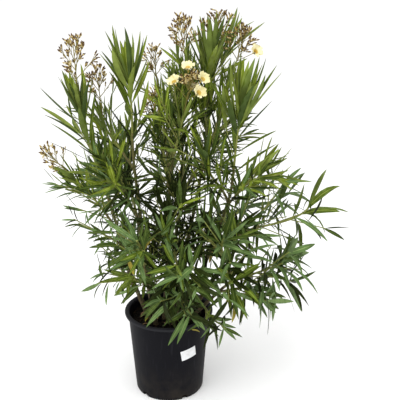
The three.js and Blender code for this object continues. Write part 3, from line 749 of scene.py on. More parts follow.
def grow_leaves(stem, shoot, address, stem_turn, is_twig, sure):
    """Every leaf that a stem carries, whorl by whorl from its tip. The sure whorls are never thinned out."""
    leaves = []
    for whorl in WHORLS:
        below, _, _, index, _ = whorl
        if not has_whorl(shoot, below, index, is_twig):
            continue
        for i in range(LEAVES_IN_WHORL):
            place = (*address, index, i)
            at = 1 - (below + LEAF_STAGGER * i) / stem.length
            kept = index in sure or chance(*place, 12) <= keep_share(shoot, below, is_twig)
            if at >= STEM_FOOT and kept:
                leaves.append(grow_leaf(stem, at, shoot, place, whorl, stem_turn, is_twig))
    return [leaf for leaf in leaves if leaf]


def grow():
    """All the stems and leaves of the crown, by the rule of the solids and on to finer twigs."""
    stems, leaves = [], []
    for shoot in SHOOTS:
        line = shoot["line"]
        stems.append({"line": line, "kind": "shoot"})
        leaves += grow_leaves(line, shoot, (shoot["id"], 50), shoot["turn"], False, SHOOT_WHORLS)
        finer = round(line.length / TWIG_EVERY * shoot["finer"])
        for index in range(shoot["twigs"] + finer):
            if index < shoot["twigs"]:
                twig = twig_line(shoot, index, TWIG_ZONE, shoot["twigs"], MARGIN)
            else:
                twig = twig_line(shoot, index, (FINER_FOOT, shoot["bare"]), finer, -LOOSE)
            if twig:
                stems.append({"line": twig, "kind": "twig"})
                sure = TWIG_WHORLS if index < shoot["twigs"] else ()
                leaves += grow_leaves(twig, shoot, (shoot["id"], index), 0, True, sure)
    return stems, leaves


def grow_sprays():
    """The sprays of bloom: their stalks and branches, and the places of their buds and open flowers."""
    stems, buds, flowers = [], [], []
    for shoot in [s for s in SHOOTS if s["top"]]:
        aim = leaning(*shoot["nod"])
        stalk = straight(Vector(shoot["head"]) - aim * STALK_SUNK, aim, shoot["stalk"])
        stems.append({"line": stalk, "kind": "stalk"})
        for row, level in enumerate(SPRAY):
            for i in range(3):
                place = (shoot["id"], row, i)
                turn = 90 + 120 * i + level["turn"] + SPRAY_SWAY * (chance(*place, 9) - 0.5)
                out = off_axis(frame_at(stalk, 0), level["lean"], turn)
                base = stalk.at(level["up"] - SPRAY_STEP * i)
                long = level["long"] * shoot["stalk"] / SPRAY_STALK
                long *= between(*SPRAY_SIZES, chance(*place, 10))
                if (row, i) in OPEN_FLOWERS[shoot["top"]]:
                    stems.append({"line": straight(base, out, long * FLOWER_SEAT + 1), "kind": "flower"})
                    face = out * FACE_SHARES[0] + leaning(*FLOWER_FACE) * FACE_SHARES[1]
                    seat = base + out * long * FLOWER_SEAT
                    flowers.append({"base": seat, "axis": face, "turn": 360 * chance(*place, 13)})
                else:
                    grow_branch(base, out, long - BRANCH_SPARE, place, shoot, stems, buds)
    return stems, buds, flowers


def grow_branch(base, out, reach, place, shoot, stems, buds):
    """One branch of a spray, bowed a little upwards, with fine side branches that each end in a few buds."""
    run, bow = BRANCH_BOW
    headroom = CROWN_HIGH[2] - TOP_ROOM - BUD_LENGTH[0] - base.z
    reach = min(reach, headroom / max(out.z * run + bow, 0.1))
    branch = Line(base, base + out * reach * 0.5, base + out * reach * run + UP * reach * bow)
    stems.append({"line": branch, "kind": "branch"})
    turn = 360 * chance(*place, 15)
    for j in range(SIDE_BRANCHES):
        share = between(SIDE_FROM, 1, j / (SIDE_BRANCHES - 1))
        end = branch.at(share)
        axis = off_axis(frame_at(branch, share), between(*SIDE_SPREAD, share), GOLDEN_TURN * j + turn)
        if share < 1:
            side = straight(end, axis, between(*SIDE_LENGTH, chance(*place, j, 18)))
            end = side.at(1)
            if end.z > CROWN_HIGH[2] - TOP_ROOM:
                continue
            stems.append({"line": side, "kind": "side"})
        grow_tuft(end, axis, turn, (*place, j), shoot, stems, buds)


def grow_tuft(end, axis, turn, place, shoot, stems, buds):
    """The few buds at a branch's end, but for any that stand too high or are missing from a sparse spray."""
    for k in range(BUDS_TOGETHER + (shoot["top"] == "flowers")):
        spot = (*place, k)
        aim = off_axis(frame_at(straight(end, axis, 1), 0), BUD_SPREAD * k, 120 * k + turn)
        neck = between(*BUD_NECK, chance(*spot, 17)) if k else 1
        length = between(*BUD_LENGTH, chance(*spot, 16))
        too_high = (end + aim * (neck + length)).z > CROWN_HIGH[2] - TOP_ROOM
        missing = chance(*spot, 23) > shoot["thin"] or (k == 2 and chance(*spot, 22) > THIRD_BUD)
        if too_high or missing:
            continue
        stems.append({"line": straight(end - axis * NECK_SUNK, aim, neck + 2 * NECK_SUNK), "kind": "neck"})
        bud = {"base": end + aim * neck, "axis": aim, "length": length, "turn": 60 * k}
        bud["pale"] = chance(*spot, 19) < shoot["pale"]
        buds.append(bud)


# Tools of the bench


def deselect():
    """Leaves edit mode and selects nothing."""
    if bpy.context.object and bpy.context.object.mode != "OBJECT":
        bpy.ops.object.mode_set(mode="OBJECT")
    bpy.ops.object.select_all(action="DESELECT")


def pick(piece):
    """Makes a piece the only one that is selected and worked on."""
    deselect()
    bpy.context.view_layer.objects.active = piece
    piece.select_set(True)


def edit(select="SELECT"):
    """Opens the active object for editing with all or nothing selected."""
    bpy.ops.object.mode_set(mode="EDIT")
    bpy.ops.mesh.select_all(action=select)


def close_edit():
    """Turns all faces outwards and leaves edit mode."""
    bpy.ops.mesh.select_all(action="SELECT")
    bpy.ops.mesh.normals_make_consistent(inside=False)
    bpy.ops.object.mode_set(mode="OBJECT")


def select_where(test, kind="VERT"):
    """Selects the points, or the faces by their middles, that pass a test of their place."""
    mesh = bmesh.from_edit_mesh(bpy.context.object.data)
    bpy.ops.mesh.select_all(action="DESELECT")
    bpy.ops.mesh.select_mode(type=kind)
    if kind == "VERT":
        for point in mesh.verts:
            point.select_set(test(point.co))
    else:
        for face in mesh.faces:
            face.select_set(test(face.calc_center_median()))
    mesh.select_flush_mode()
    bmesh.update_edit_mesh(bpy.context.object.data)


def filled_ring(sides, radius, height=0):
    """A filled circle at a height, open for editing and all selected."""
    deselect()
    place = (0, 0, height)
    bpy.ops.mesh.primitive_circle_add(vertices=sides, radius=radius, location=place, fill_type="NGON")
    piece = bpy.context.object
    bpy.ops.object.transform_apply(location=True, rotation=False, scale=False)
    edit()
    return piece


def draw_out(rise):
    """Extrudes the selected face upwards."""
    bpy.ops.mesh.extrude_region_move(TRANSFORM_OT_translate={"value": (0, 0, rise)})


def widen(ratio, height):
    """Scales what is selected about the axis, level at a height."""
    bpy.ops.transform.resize(value=(ratio, ratio, 1), center_override=(0, 0, height))


def draw_up(rings, unit=1):
    """Draws a face up through rings of height and radius, of which the first is the face itself."""
    for (low, radius), (high, next_radius) in zip(rings, rings[1:]):
        draw_out((high - low) * unit)
        widen(next_radius / radius, high * unit)


def modify(piece, name, kind, **settings):
    """Adds a modifier to the active piece with its settings and applies it."""
    modifier = piece.modifiers.new(name, kind)
    for setting, value in settings.items():
        setattr(modifier, setting, value)
    bpy.ops.object.modifier_apply(modifier=name)


def lumpy(piece, name, relief, **settings):
    """Raises a piece's skin by a cloudy relief."""
    size, strength = relief
    texture = bpy.data.textures.new(name, type="CLOUDS")
    texture.noise_scale = size
    texture.noise_depth = 3
    modify(piece, name, "DISPLACE", texture=texture, strength=strength, mid_level=0.5, **settings)


def to_metres(piece):
    """Takes a piece modelled in millimetres to metres."""
    pick(piece)
    piece.scale = (MM, MM, MM)
    bpy.ops.object.transform_apply(location=False, rotation=False, scale=True)


def finish_piece(piece, name, finishes, smooth):
    """Names a piece, gives it its finishes and its place in its mesh, and rides it on the plant's body."""
    pick(piece)
    piece.name = name
    piece.data.name = name
    piece.data.materials.clear()
    for finish in finishes:
        piece.data.materials.append(finish)
    bpy.ops.object.transform_apply(location=True, rotation=True, scale=True)
    bpy.ops.object.shade_smooth_by_angle(angle=math.radians(smooth))
    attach(piece, "root")
    piece.select_set(False)


def template(obj):
    """A shape's points, faces and face finishes as arrays. The object that they came from is removed."""
    mesh = obj.data
    points = np.array([list(v.co) for v in mesh.vertices])
    loops = np.array([i for p in mesh.polygons for i in p.vertices])
    sizes = np.array([len(p.vertices) for p in mesh.polygons])
    kinds = np.array([p.material_index for p in mesh.polygons])
    bpy.data.objects.remove(obj)
    return {"points": points, "loops": loops, "sizes": sizes, "kinds": kinds}


def joined(name, shape, copies, finishes, smooth=60, uv=None, kinds=None):
    """One piece from many copies of a shape. copies holds each copy's points, in millimetres."""
    count, size = copies.shape[:2]
    turns = np.arange(count)[:, None]
    starts = np.concatenate([[0], np.cumsum(shape["sizes"])[:-1]])
    starts = (starts[None] + len(shape["loops"]) * turns).ravel()
    loops = (shape["loops"][None] + size * turns).ravel()
    mesh = bpy.data.meshes.new(name)
    mesh.vertices.add(count * size)
    mesh.vertices.foreach_set("co", (copies * MM).astype(np.float32).ravel())
    mesh.loops.add(len(loops))
    mesh.loops.foreach_set("vertex_index", loops.astype(np.int32))
    mesh.polygons.add(len(starts))
    mesh.polygons.foreach_set("loop_start", starts.astype(np.int32))
    if uv is not None:
        layer = mesh.uv_layers.new(name="UVMap")
        layer.data.foreach_set("uv", np.tile(uv[shape["loops"]], (count, 1)).astype(np.float32).ravel())
    mesh.update(calc_edges=True)
    piece = bpy.data.objects.new(name, mesh)
    bpy.context.collection.objects.link(piece)
    finish_piece(piece, name, finishes, smooth)
    kinds = np.tile(shape["kinds"], count) if kinds is None else kinds
    mesh.polygons.foreach_set("material_index", kinds.astype(np.int32))
    return piece


def placed(shape, base, axis, turn, size):
    """A shape's points set on a base, its +Z along an axis, turned and sized."""
    axis = Vector(axis).normalized()
    side = axis.orthogonal().normalized()
    side.rotate(Quaternion(axis, math.radians(turn)))
    basis = np.array([list(side), list(axis.cross(side)), list(axis)])
    return np.array(base) + (shape["points"] * size) @ basis


# Shapes that are copied


def leaf_shape():
    """One leaf along +Z, one unit long and a unit wide to each side: a five-sided tube drawn out from its
    root to its point, with a folded blade, a rib strip along the middle and a keel below."""
    deselect()
    bpy.ops.mesh.primitive_circle_add(vertices=len(LEAF_SECTION), radius=1)
    leaf = bpy.context.object
    first = LEAF_WIDTHS[0][1]
    for point, (across, rise) in zip(leaf.data.vertices, LEAF_SECTION):
        point.co = (across * first, rise * first, 0)
    edit()
    bpy.ops.mesh.edge_face_add()
    draw_up(LEAF_WIDTHS)
    draw_out(1 - LEAF_WIDTHS[-1][0])
    bpy.ops.mesh.merge(type="CENTER")
    close_edit()
    for face in leaf.data.polygons:
        on_rib = abs(face.center.x) < 1e-4
        face.material_index = 2 if face.normal.y < 0 else int(on_rib)
    return template(leaf)


def bend_leaf(points, leaf):
    """One leaf's points: the straight leaf bent along its line, folded, arched and twisted."""
    t = points[:, 2:]
    root, mid, tip = [np.array(p) for p in leaf["line"].points]
    axis = np.array(leaf["axis"])
    chord = tip - root
    length = np.linalg.norm(chord)
    across = np.cross(axis, np.array(leaf["out"]))
    across /= np.linalg.norm(across)
    face = np.cross(chord / length, across)
    if face @ axis < 0:
        face = -face
    mid = mid + face * leaf["arch"] * length + across * leaf["sweep"] * length
    spine = root * (1 - t) ** 2 + 2 * mid * t * (1 - t) + tip * t**2
    run = 2 * (mid - root) * (1 - t) + 2 * (tip - mid) * t
    run /= np.linalg.norm(run, axis=1)[:, None]
    flat = across - run * (run @ across)[:, None]
    flat /= np.linalg.norm(flat, axis=1)[:, None]
    normal = np.cross(run, flat)
    normal *= np.sign(normal @ face)[:, None]
    twist = math.radians(leaf["twist"]) * t
    wide = flat * np.cos(twist) + normal * np.sin(twist)
    high = normal * np.cos(twist) - flat * np.sin(twist)
    half = leaf["half"] * leaf["length"]
    return spine + wide * points[:, :1] * half + high * points[:, 1:2] * half * leaf["fold"]


def dress_leaf(leaf):
    """Gives a leaf its width, arch, fold and twist, and its tint, with painted light and shade by where it
    grows.
    """
    place = leaf["place"]
    low = leaf["shoot"]["low"]
    deep = depth_of(leaf)
    breadth = LEAF_HALF * between(*BREADTH, chance(*place, 30)) * between(INNER_BREADTH, 1, deep)
    leaf["half"] = breadth * (HIGH_BREADTH + LOW_BREADTH * low)
    upright = (1 - low) * (1 - limit(leaf["below"] / TIP_ARCH["below"]))
    upright *= TIP_ARCH["twig"] if leaf["twig"] else 1
    leaf["arch"] = between(*ARCH, chance(*place, 31)) + LOW_ARCH * low - TIP_ARCH["most"] * upright
    leaf["sweep"] = between(*SWEEP, chance(*place, 36))
    leaf["fold"] = between(*FOLD, chance(*place, 32))
    leaf["twist"] = between(*TWIST, chance(*place, 33)) * (HIGH_TWIST + low)
    # The tint carries painted light and shade by the leaf's place in the crown.
    leaf["tint"] = tint_of(leaf, deep)


def depth_of(leaf):
    """How far out in the crown a leaf grows: 0 at its core and 1 at its skin."""
    middle = leaf["line"].at(LEAF_MIDDLE)
    out = math.hypot((middle.x - CROWN["x"]) / CROWN["wide"], middle.y / CROWN["deep"])
    high = (middle.z - CROWN["z"]) / CROWN["high"]
    return limit((math.sqrt(out * out + high * high) - CROWN["core"]) / CROWN["skin"])


def tint_of(leaf, deep):
    """The tint of a leaf, partly its own tone by its spray and age and partly painted light: lighter high and
    outside, a greyer painted sheen low in front, and painted shade darker inside.
    """
    height = limit((leaf["line"].at(LEAF_MIDDLE).z - LEAVES_FROM) / LEAVES_OVER)
    spray = chance(leaf["shoot"]["id"], leaf["place"][1], 35)
    if chance(*leaf["place"], 34) < TURNING["share"] and height < TURNING["lower"]:
        return "turning"
    own = chance(*leaf["place"], 37)
    # Painted light and shade: height and depth in the crown lighten a leaf and inner ones are darker; spray,
    # own chance and age are its own tone.
    light = BRIGHT["height"] * height + BRIGHT["deep"] * deep + BRIGHT["spray"] * (spray - 0.5)
    light += BRIGHT["own"] * (own - 0.5)
    light -= BRIGHT["below"] * leaf["below"]
    if light > LEAST_BRIGHT["sunlit"] and height > SUNLIT_ABOVE:
        return "sunlit"
    if light > LEAST_BRIGHT["fresh"]:
        return "sheen_grey" if height < PAINTED_SHEEN["lower"] and spray < PAINTED_SHEEN["sprays"] else "fresh"
    return "deep" if light > LEAST_BRIGHT["deep"] else "shaded"


def stem_shape(sides, rings):
    """A straight stem along +Z, one unit long and thick: a closed tube drawn out in even steps."""
    stem = filled_ring(sides, 1)
    for _ in range(rings):
        draw_out(1 / rings)
    close_edit()
    for face in stem.data.polygons:
        face.material_index = 0 if face.center.z < OLD_WOOD else 1
    return template(stem)


def bend_stems(shape, stems):
    """Each stem's points: the straight stem laid along its line, thick at its foot and fine at its tip."""
    points = shape["points"]
    levels = np.round(points[:, 2], 4)
    copies = []
    for stem in stems:
        made = np.zeros_like(points)
        for ring in sorted(set(levels)):
            here = levels == ring
            _, side, rise = [np.array(v) for v in frame_at(stem["line"], ring)]
            spread = points[here, :1] * side + points[here, 1:2] * rise
            made[here] = np.array(stem["line"].at(ring)) + spread * between(*STEMS[stem["kind"]], ring)
        copies.append(made)
    return np.array(copies)


def bud_shape():
    """A bud along +Z, one unit long: a calyx, a slim body that swells above the middle, and a pointed tip."""
    bud = filled_ring(6, BUD_PROFILE[0][1])
    draw_up(BUD_PROFILE)
    close_edit()
    for face in bud.data.polygons:
        face.material_index = sum(face.center.z > zone for zone in BUD_ZONES)
    return template(bud)


def flower_shape():
    """An open flower along +Z in millimetres: a slim tube, a wide throat and five broad ruffled lobes."""
    deselect()
    bpy.ops.mesh.primitive_circle_add(vertices=FLOWER_SIDES, radius=FLOWER_PROFILE[0][1])
    flower = bpy.context.object
    edit()
    for (low, radius, _), (high, next_radius, _) in zip(FLOWER_PROFILE, FLOWER_PROFILE[1:]):
        bpy.ops.mesh.extrude_edges_move(TRANSFORM_OT_translate={"value": (0, 0, high - low)})
        widen(next_radius / radius, high)
    draw_clefts()
    bpy.ops.object.mode_set(mode="OBJECT")
    for point in flower.data.vertices:
        out = math.hypot(point.co.x, point.co.y)
        turn = math.atan2(point.co.y, point.co.x)
        wave = math.sin(RUFFLE["waves"] * turn + RUFFLE["uneven"] * math.sin(4 * turn))
        point.co.z += RUFFLE["high"] * (out / FLOWER_PROFILE[-1][1]) ** 2 * wave
    modify(flower, "thick", "SOLIDIFY", thickness=PETAL_THICK)
    edit()
    close_edit()
    for face in flower.data.polygons:
        face.material_index = int(math.hypot(face.center.x, face.center.y) < THROAT)
    return template(flower)


def draw_clefts():
    """Draws the flower's rim in at each cleft between its lobes."""
    for level, _, cleft in FLOWER_PROFILE:
        if cleft < 1:
            for off, whole in CLEFT_SIDES:
                select_where(lambda point: on_cleft(point, level, off))
                widen(between(cleft, 1, whole), level)


def on_cleft(point, level, off):
    """Whether a point of the flower lies on a ring, so many steps to either side of a cleft."""
    step = 360 / FLOWER_SIDES
    turn = math.degrees(math.atan2(point.y, point.x)) % (360 / PETALS)
    turn = min(turn, 360 / PETALS - turn)
    return abs(point.z - level) < 0.01 and abs(turn - off * step) < 0.5 * step


def crumb_shape():
    """A lump of soil: a small ball, flattened and drawn out to one side."""
    deselect()
    bpy.ops.mesh.primitive_ico_sphere_add(subdivisions=1, radius=1)
    crumb = bpy.context.object
    edit()
    bpy.ops.transform.resize(value=(1.2, 0.9, 0.6), center_override=(0, 0, 0))
    select_where(lambda point: point.x > 0.5)
    bpy.ops.transform.resize(value=(1, 0.7, 0.8), center_override=(1, 0, 0))
    bpy.ops.object.mode_set(mode="OBJECT")
    return template(crumb)


# Pieces


def pot_rings():
    """Height and radius of the pot's rings: from under its foot, over its lip, and down to its floor."""
    rings = [(0, FOOT_RADIUS - FOOT_ROUND), FOOT_EDGE, (FOOT_ROUND, FOOT_RADIUS)]
    for step in range(1, WALL_STEPS + 1):
        z = between(FOOT_ROUND, POT_HEIGHT - LIP_HEIGHT - 1, step / WALL_STEPS)
        rings.append((z, wall_radius(z)))
    rings += LIP_ROLL
    for step in range(INNER_STEPS + 1):
        z = between(INNER_TOP, FLOOR, step / INNER_STEPS)
        rings.append((z, inner_radius(z)))
    return rings


def make_pot():
    """The pot: foot, sloping wall, rolled lip, inner wall and floor drawn up as one skin, with drains cut."""
    rings = pot_rings()
    pot = filled_ring(POT_SIDES, rings[0][1])
    draw_up(rings)
    close_edit()
    to_metres(pot)
    for heading in DRAIN_HEADINGS:
        cut_drain(pot, heading)
    finish_piece(pot, "pot_wall", [pot_plastic()], 32)
    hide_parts("pot")
    return pot


def cut_drain(pot, heading):
    """Cuts one drain through the foot of the wall, with a rounded top."""
    deselect()
    bpy.ops.mesh.primitive_cube_add(size=1, location=(FOOT_RADIUS * MM, 0, 0))
    cutter = bpy.context.object
    cutter.scale = (DRAIN["deep"] * 2 * MM, DRAIN["wide"] * MM, DRAIN["high"] * 2 * MM)
    bpy.ops.object.transform_apply(location=True, rotation=False, scale=True)
    edit("DESELECT")
    select_where(lambda point: point.z > 0)
    bpy.ops.mesh.bevel(offset=DRAIN["round"] * MM, segments=3, affect="EDGES")
    bpy.ops.object.mode_set(mode="OBJECT")
    cutter.rotation_euler = (0, 0, math.radians(heading))
    bpy.ops.object.transform_apply(location=False, rotation=True, scale=False)
    pick(pot)
    modify(pot, "cut", "BOOLEAN", operation="DIFFERENCE", object=cutter, solver="EXACT")
    bpy.data.objects.remove(cutter)


def make_soil():
    """The soil: a filled disc inset ring by ring, carried down inside the pot, with a lumpy top."""
    top = SOIL_TOP - SOIL_SUNK
    radius = inner_radius(top) - SOIL_CLEAR
    soil = filled_ring(SOIL_SIDES, radius, top)
    draw_up([(top, radius), (SOIL_FOOT, inner_radius(SOIL_FOOT) - SOIL_CLEAR)])
    select_where(lambda middle: abs(middle.z - top) < 0.01, "FACE")
    for _ in range(SOIL_INSETS):
        bpy.ops.mesh.inset(thickness=radius / (SOIL_INSETS + 1))
    bpy.ops.mesh.poke()
    close_edit()
    to_metres(soil)
    group = soil.vertex_groups.new(name="top")
    group.add([v.index for v in soil.data.vertices if v.co.z > (top - 1) * MM], 1, "REPLACE")
    lumpy(soil, "lumps", SOIL_LUMPS, vertex_group="top", direction="Z")
    lumpy(soil, "grains", SOIL_GRAINS, vertex_group="top", direction="Z")
    finish_piece(soil, "soil_bed", [soil_earth()], 60)
    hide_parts("soil")


def scatter_crumbs():
    """Crumbs and bits of bark strewn over the soil."""
    shape = crumb_shape()
    copies = []
    for i in range(CRUMBS["count"]):
        out = (inner_radius(SOIL_TOP) - CRUMBS["edge"]) * math.sqrt(chance(CRUMB_PLACES, i, 1))
        base = leaning(90, 360 * chance(CRUMB_PLACES, i, 2)) * out
        base.z = SOIL_TOP - SOIL_SUNK + between(*CRUMBS["high"], chance(CRUMB_PLACES, i, 3))
        size = between(*CRUMBS["size"], chance(CRUMB_PLACES, i, 4) ** 2)
        axis = leaning(CRUMBS["lean"] * chance(CRUMB_PLACES, i, 5), 360 * chance(CRUMB_PLACES, i, 6))
        copies.append(placed(shape, base, axis, 360 * chance(CRUMB_PLACES, i, 7), size))
    joined("soil_crumbs", shape, np.array(copies), [crumb_bark()], 30)


def make_sticker(pot):
    """The bare sticker: a fine sheet turned a little, laid round the wall, thickened and slightly creased."""
    deselect()
    bpy.ops.mesh.primitive_grid_add(x_subdivisions=26, y_subdivisions=18, size=1)
    sticker = bpy.context.object
    edit()
    bpy.ops.transform.resize(value=(STICKER["wide"] * MM, STICKER["high"] * MM, 1), center_override=(0, 0, 0))
    bpy.ops.object.mode_set(mode="OBJECT")
    heading = math.radians(STICKER["heading"])
    out = wall_radius(STICKER["up"]) * MM
    sticker.rotation_euler = (math.radians(90), math.radians(-STICKER["tilt"]), heading + math.radians(90))
    sticker.location = (out * math.cos(heading), out * math.sin(heading), STICKER["up"] * MM)
    bpy.ops.object.transform_apply(location=True, rotation=True, scale=True)
    off = STICKER["off"] * MM
    modify(sticker, "wrap", "SHRINKWRAP", target=pot, wrap_mode="OUTSIDE_SURFACE", offset=off)
    lumpy(sticker, "wrinkles", STICKER_CREASES)
    modify(sticker, "thick", "SOLIDIFY", thickness=STICKER["thick"] * MM, offset=0)
    finish_piece(sticker, "sticker_bare", [paper()], 50)
    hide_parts("sticker")


def cane_rings(cane):
    """Height and radius of a cane's rings while it is straight, with swollen nodes and a rounded end."""
    line = cane["line"]
    steps = int(line.length / CANE_STEP)
    rings = [(-CANE_SUNK, cane_radius(cane, 0) * CANE_SKIN)]
    for step in range(1, steps + 1):
        share = step / steps
        along = share * line.length
        off_node = ((along % NODE["every"]) - NODE["every"] / 2) / NODE["long"]
        swell = NODE["swell"] * math.exp(-(off_node ** 2))
        rings.append((along, cane_radius(cane, share) * CANE_SKIN * (1 + swell)))
    last = rings[-1][1]
    return rings + [(line.length + high * last, wide * last) for high, wide in CANE_END]


def make_cane(cane, skin):
    """One cane: a straight tapering stem drawn up ring by ring, roughened, and bent to its line."""
    name = "bark_" + cane["name"]
    rings = cane_rings(cane)
    height, radius = rings[0]
    piece = filled_ring(CANE_SIDES, radius * MM, height * MM)
    draw_up(rings, MM)
    close_edit()
    lumpy(piece, name, BARK_RELIEF)
    bend_to(piece, cane["line"])
    finish_piece(piece, name, [skin], 60)
    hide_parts("cane_" + cane["name"])


def bend_to(piece, line):
    """Bends a straight piece along +Z to a line, by a curve that is then removed."""
    start, bend, end = [p * MM for p in line.points]
    bpy.ops.curve.primitive_bezier_curve_add()
    guide = bpy.context.object
    guide.data.resolution_u = 32
    first, last = guide.data.splines[0].bezier_points
    for point in (first, last):
        point.handle_left_type = "FREE"
        point.handle_right_type = "FREE"
    first.co = start
    first.handle_right = start.lerp(bend, 2 / 3)
    first.handle_left = start - (first.handle_right - start)
    last.co = end
    last.handle_left = end.lerp(bend, 2 / 3)
    last.handle_right = end + (end - last.handle_left)
    pick(piece)
    modify(piece, "along", "CURVE", object=guide, deform_axis="POS_Z")
    bpy.data.objects.remove(guide)


def make_stems(stems):
    """The shoots and twigs of the crown."""
    old = stem_finish("stem_old", (0.1, 0.09, 0.03), (0.2, 0.18, 0.06))
    young = stem_finish("stem_young", (0.17, 0.19, 0.04), (0.3, 0.32, 0.08))
    thick = stem_shape(8, 14)
    thin = stem_shape(6, 5)
    shoots = [s for s in stems if s["kind"] == "shoot"]
    twigs = [s for s in stems if s["kind"] == "twig"]
    joined("stems_shoots", thick, bend_stems(thick, shoots), [old, young])
    joined("stems_twigs", thin, bend_stems(thin, twigs), [young, young])


def group_of(shoot):
    """Which piece a shoot's leaves are joined into."""
    x, y, _ = shoot["head"]
    if y > LEAF_GROUPS["back"]:
        return "back"
    return next(group for group, right_edge in LEAF_GROUPS.items() if x < right_edge)


def join_leaves(name, leaves, shape, finishes):
    """One piece of leaves, each bent along its line and in its own tint."""
    points = shape["points"]
    uv = np.stack([points[:, 0] / 2 + 0.5, points[:, 2]], axis=1)
    copies = np.array([bend_leaf(points, leaf) for leaf in leaves])
    order = list(TINTS)
    kinds = np.concatenate([shape["kinds"] + 3 * order.index(leaf["tint"]) for leaf in leaves])
    return joined(name, shape, copies, finishes, uv=uv, kinds=kinds)


def make_leaves(leaves, shape, finishes):
    """The leaves, joined by the side of the crown that they grow on."""
    for leaf in leaves:
        dress_leaf(leaf)
    for group in LEAF_GROUPS:
        own = [leaf for leaf in leaves if group_of(leaf["shoot"]) == group]
        piece = join_leaves("leaves_" + group, own, shape, finishes)
        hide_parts(*["foliage_" + s["name"] for s in SHOOTS if group_of(s) == group])


def make_fallen(shape, finishes):
    """The few fallen leaves, curled on the soil."""
    fallen = []
    for number, (place, heading, length, width, tint) in enumerate(FALLEN):
        root = Vector(place)
        tip = root + leaning(88, heading) * length
        line = Line(root, root.lerp(tip, 0.5) + UP * length * CURL["rise"], tip)
        leaf = {"line": line, "out": leaning(84, heading), "axis": UP, "length": length, "tint": tint}
        twist = between(*CURL["twist"], chance(FALLEN_PLACES, number))
        leaf.update(half=0.1 * width, arch=0, fold=CURL["fold"], sweep=CURL["sweep"], twist=twist)
        fallen.append(leaf)
    join_leaves("fallen_leaves", fallen, shape, finishes)


def make_bloom():
    """Buds, open flowers and the fine stalks that bear them."""
    stems, buds, flowers = grow_sprays()
    tube = stem_shape(5, 3)
    skin = stem_finish("stalk_skin", (0.13, 0.115, 0.022), (0.26, 0.22, 0.055))
    joined("bloom_stalks", tube, bend_stems(tube, stems), [skin, skin])
    bud = bud_shape()
    copies = [placed(bud, b["base"], b["axis"], b["turn"], b["length"]) for b in buds]
    bud_finishes = [
        petal_finish("bud_calyx", (0.11, 0.066, 0.012), (0.21, 0.14, 0.03)),
        petal_finish("bud_body", (0.3, 0.2, 0.045), (0.56, 0.45, 0.19)),
        petal_finish("bud_tip", (0.045, 0.024, 0.008), (0.14, 0.078, 0.026)),
        petal_finish("bud_cream", (0.5, 0.43, 0.22), (0.78, 0.72, 0.5)),
    ]
    kinds = np.concatenate([PALE_KINDS[bud["kinds"]] if b["pale"] else bud["kinds"] for b in buds])
    joined("bloom_buds", bud, np.array(copies), bud_finishes, kinds=kinds)
    flower = flower_shape()
    copies = [placed(flower, f["base"], f["axis"], f["turn"], 1) for f in flowers]
    size, turn = INNER_PETALS
    copies += [placed(flower, f["base"], f["axis"], f["turn"] + turn, size) for f in flowers]
    flower_finishes = [
        petal_finish("petal_cream", (0.6, 0.54, 0.27), (0.78, 0.73, 0.47)),
        petal_finish("petal_throat", (0.5, 0.34, 0.06), (0.62, 0.46, 0.12)),
    ]
    joined("bloom_flowers", flower, np.array(copies), flower_finishes)


# Finishes


def begin(name, rough, specular):
    """A new finish with its shader set, and the nodes that the rest joins."""
    finish = bpy.data.materials.new(name)
    finish.use_nodes = True
    tree = finish.node_tree
    shader = tree.nodes["Principled BSDF"]
    shader.inputs["Roughness"].default_value = rough
    shader.inputs["Specular IOR Level"].default_value = specular
    return finish, tree, shader


def add_node(tree, kind, **sockets):
    """A new node of a finish with some of its sockets set."""
    node = tree.nodes.new("ShaderNode" + kind)
    for socket, value in sockets.items():
        node.inputs[socket].default_value = value
    return node


def coords(tree, source="Object"):
    """The piece's own coordinates, or those of its UV map."""
    return add_node(tree, "TexCoord").outputs[source]


def cloud(tree, scale, detail=4.0):
    """A noise read from the piece's own coordinates."""
    place = coords(tree)
    noise = add_node(tree, "TexNoise", Scale=scale, Detail=detail, Roughness=0.55)
    tree.links.new(place, noise.inputs["Vector"])
    return noise.outputs["Fac"]


def blend(tree, share, low, high):
    """A mix of two colours or two colour sockets by a share."""
    mix = tree.nodes.new("ShaderNodeMix")
    mix.data_type = "RGBA"
    tree.links.new(share, mix.inputs["Factor"])
    for socket, colour in ((mix.inputs["A"], low), (mix.inputs["B"], high)):
        if isinstance(colour, bpy.types.NodeSocket):
            tree.links.new(colour, socket)
        else:
            socket.default_value = (*colour, 1)
    return mix.outputs["Result"]


def paint(tree, shader, share, low, high):
    """Colours a finish by a blend of two colours."""
    tree.links.new(blend(tree, share, low, high), shader.inputs["Base Color"])


def stretch(tree, share, low, high):
    """Stretches the part of a share from low to high to run from 0 to 1."""
    span = tree.nodes.new("ShaderNodeMapRange")
    span.inputs["From Min"].default_value = low
    span.inputs["From Max"].default_value = high
    tree.links.new(share, span.inputs["Value"])
    return span.outputs["Result"]


def raise_skin(tree, shader, height, strength, distance):
    """Lets a height raise the shading of a finish."""
    bump = add_node(tree, "Bump", Strength=strength, Distance=distance)
    tree.links.new(height, bump.inputs["Height"])
    tree.links.new(bump.outputs["Normal"], shader.inputs["Normal"])


def height_of(tree, source="Object", part="Z"):
    """One coordinate of a piece."""
    place = coords(tree, source)
    split = tree.nodes.new("ShaderNodeSeparateXYZ")
    tree.links.new(place, split.inputs["Vector"])
    return split.outputs[part]


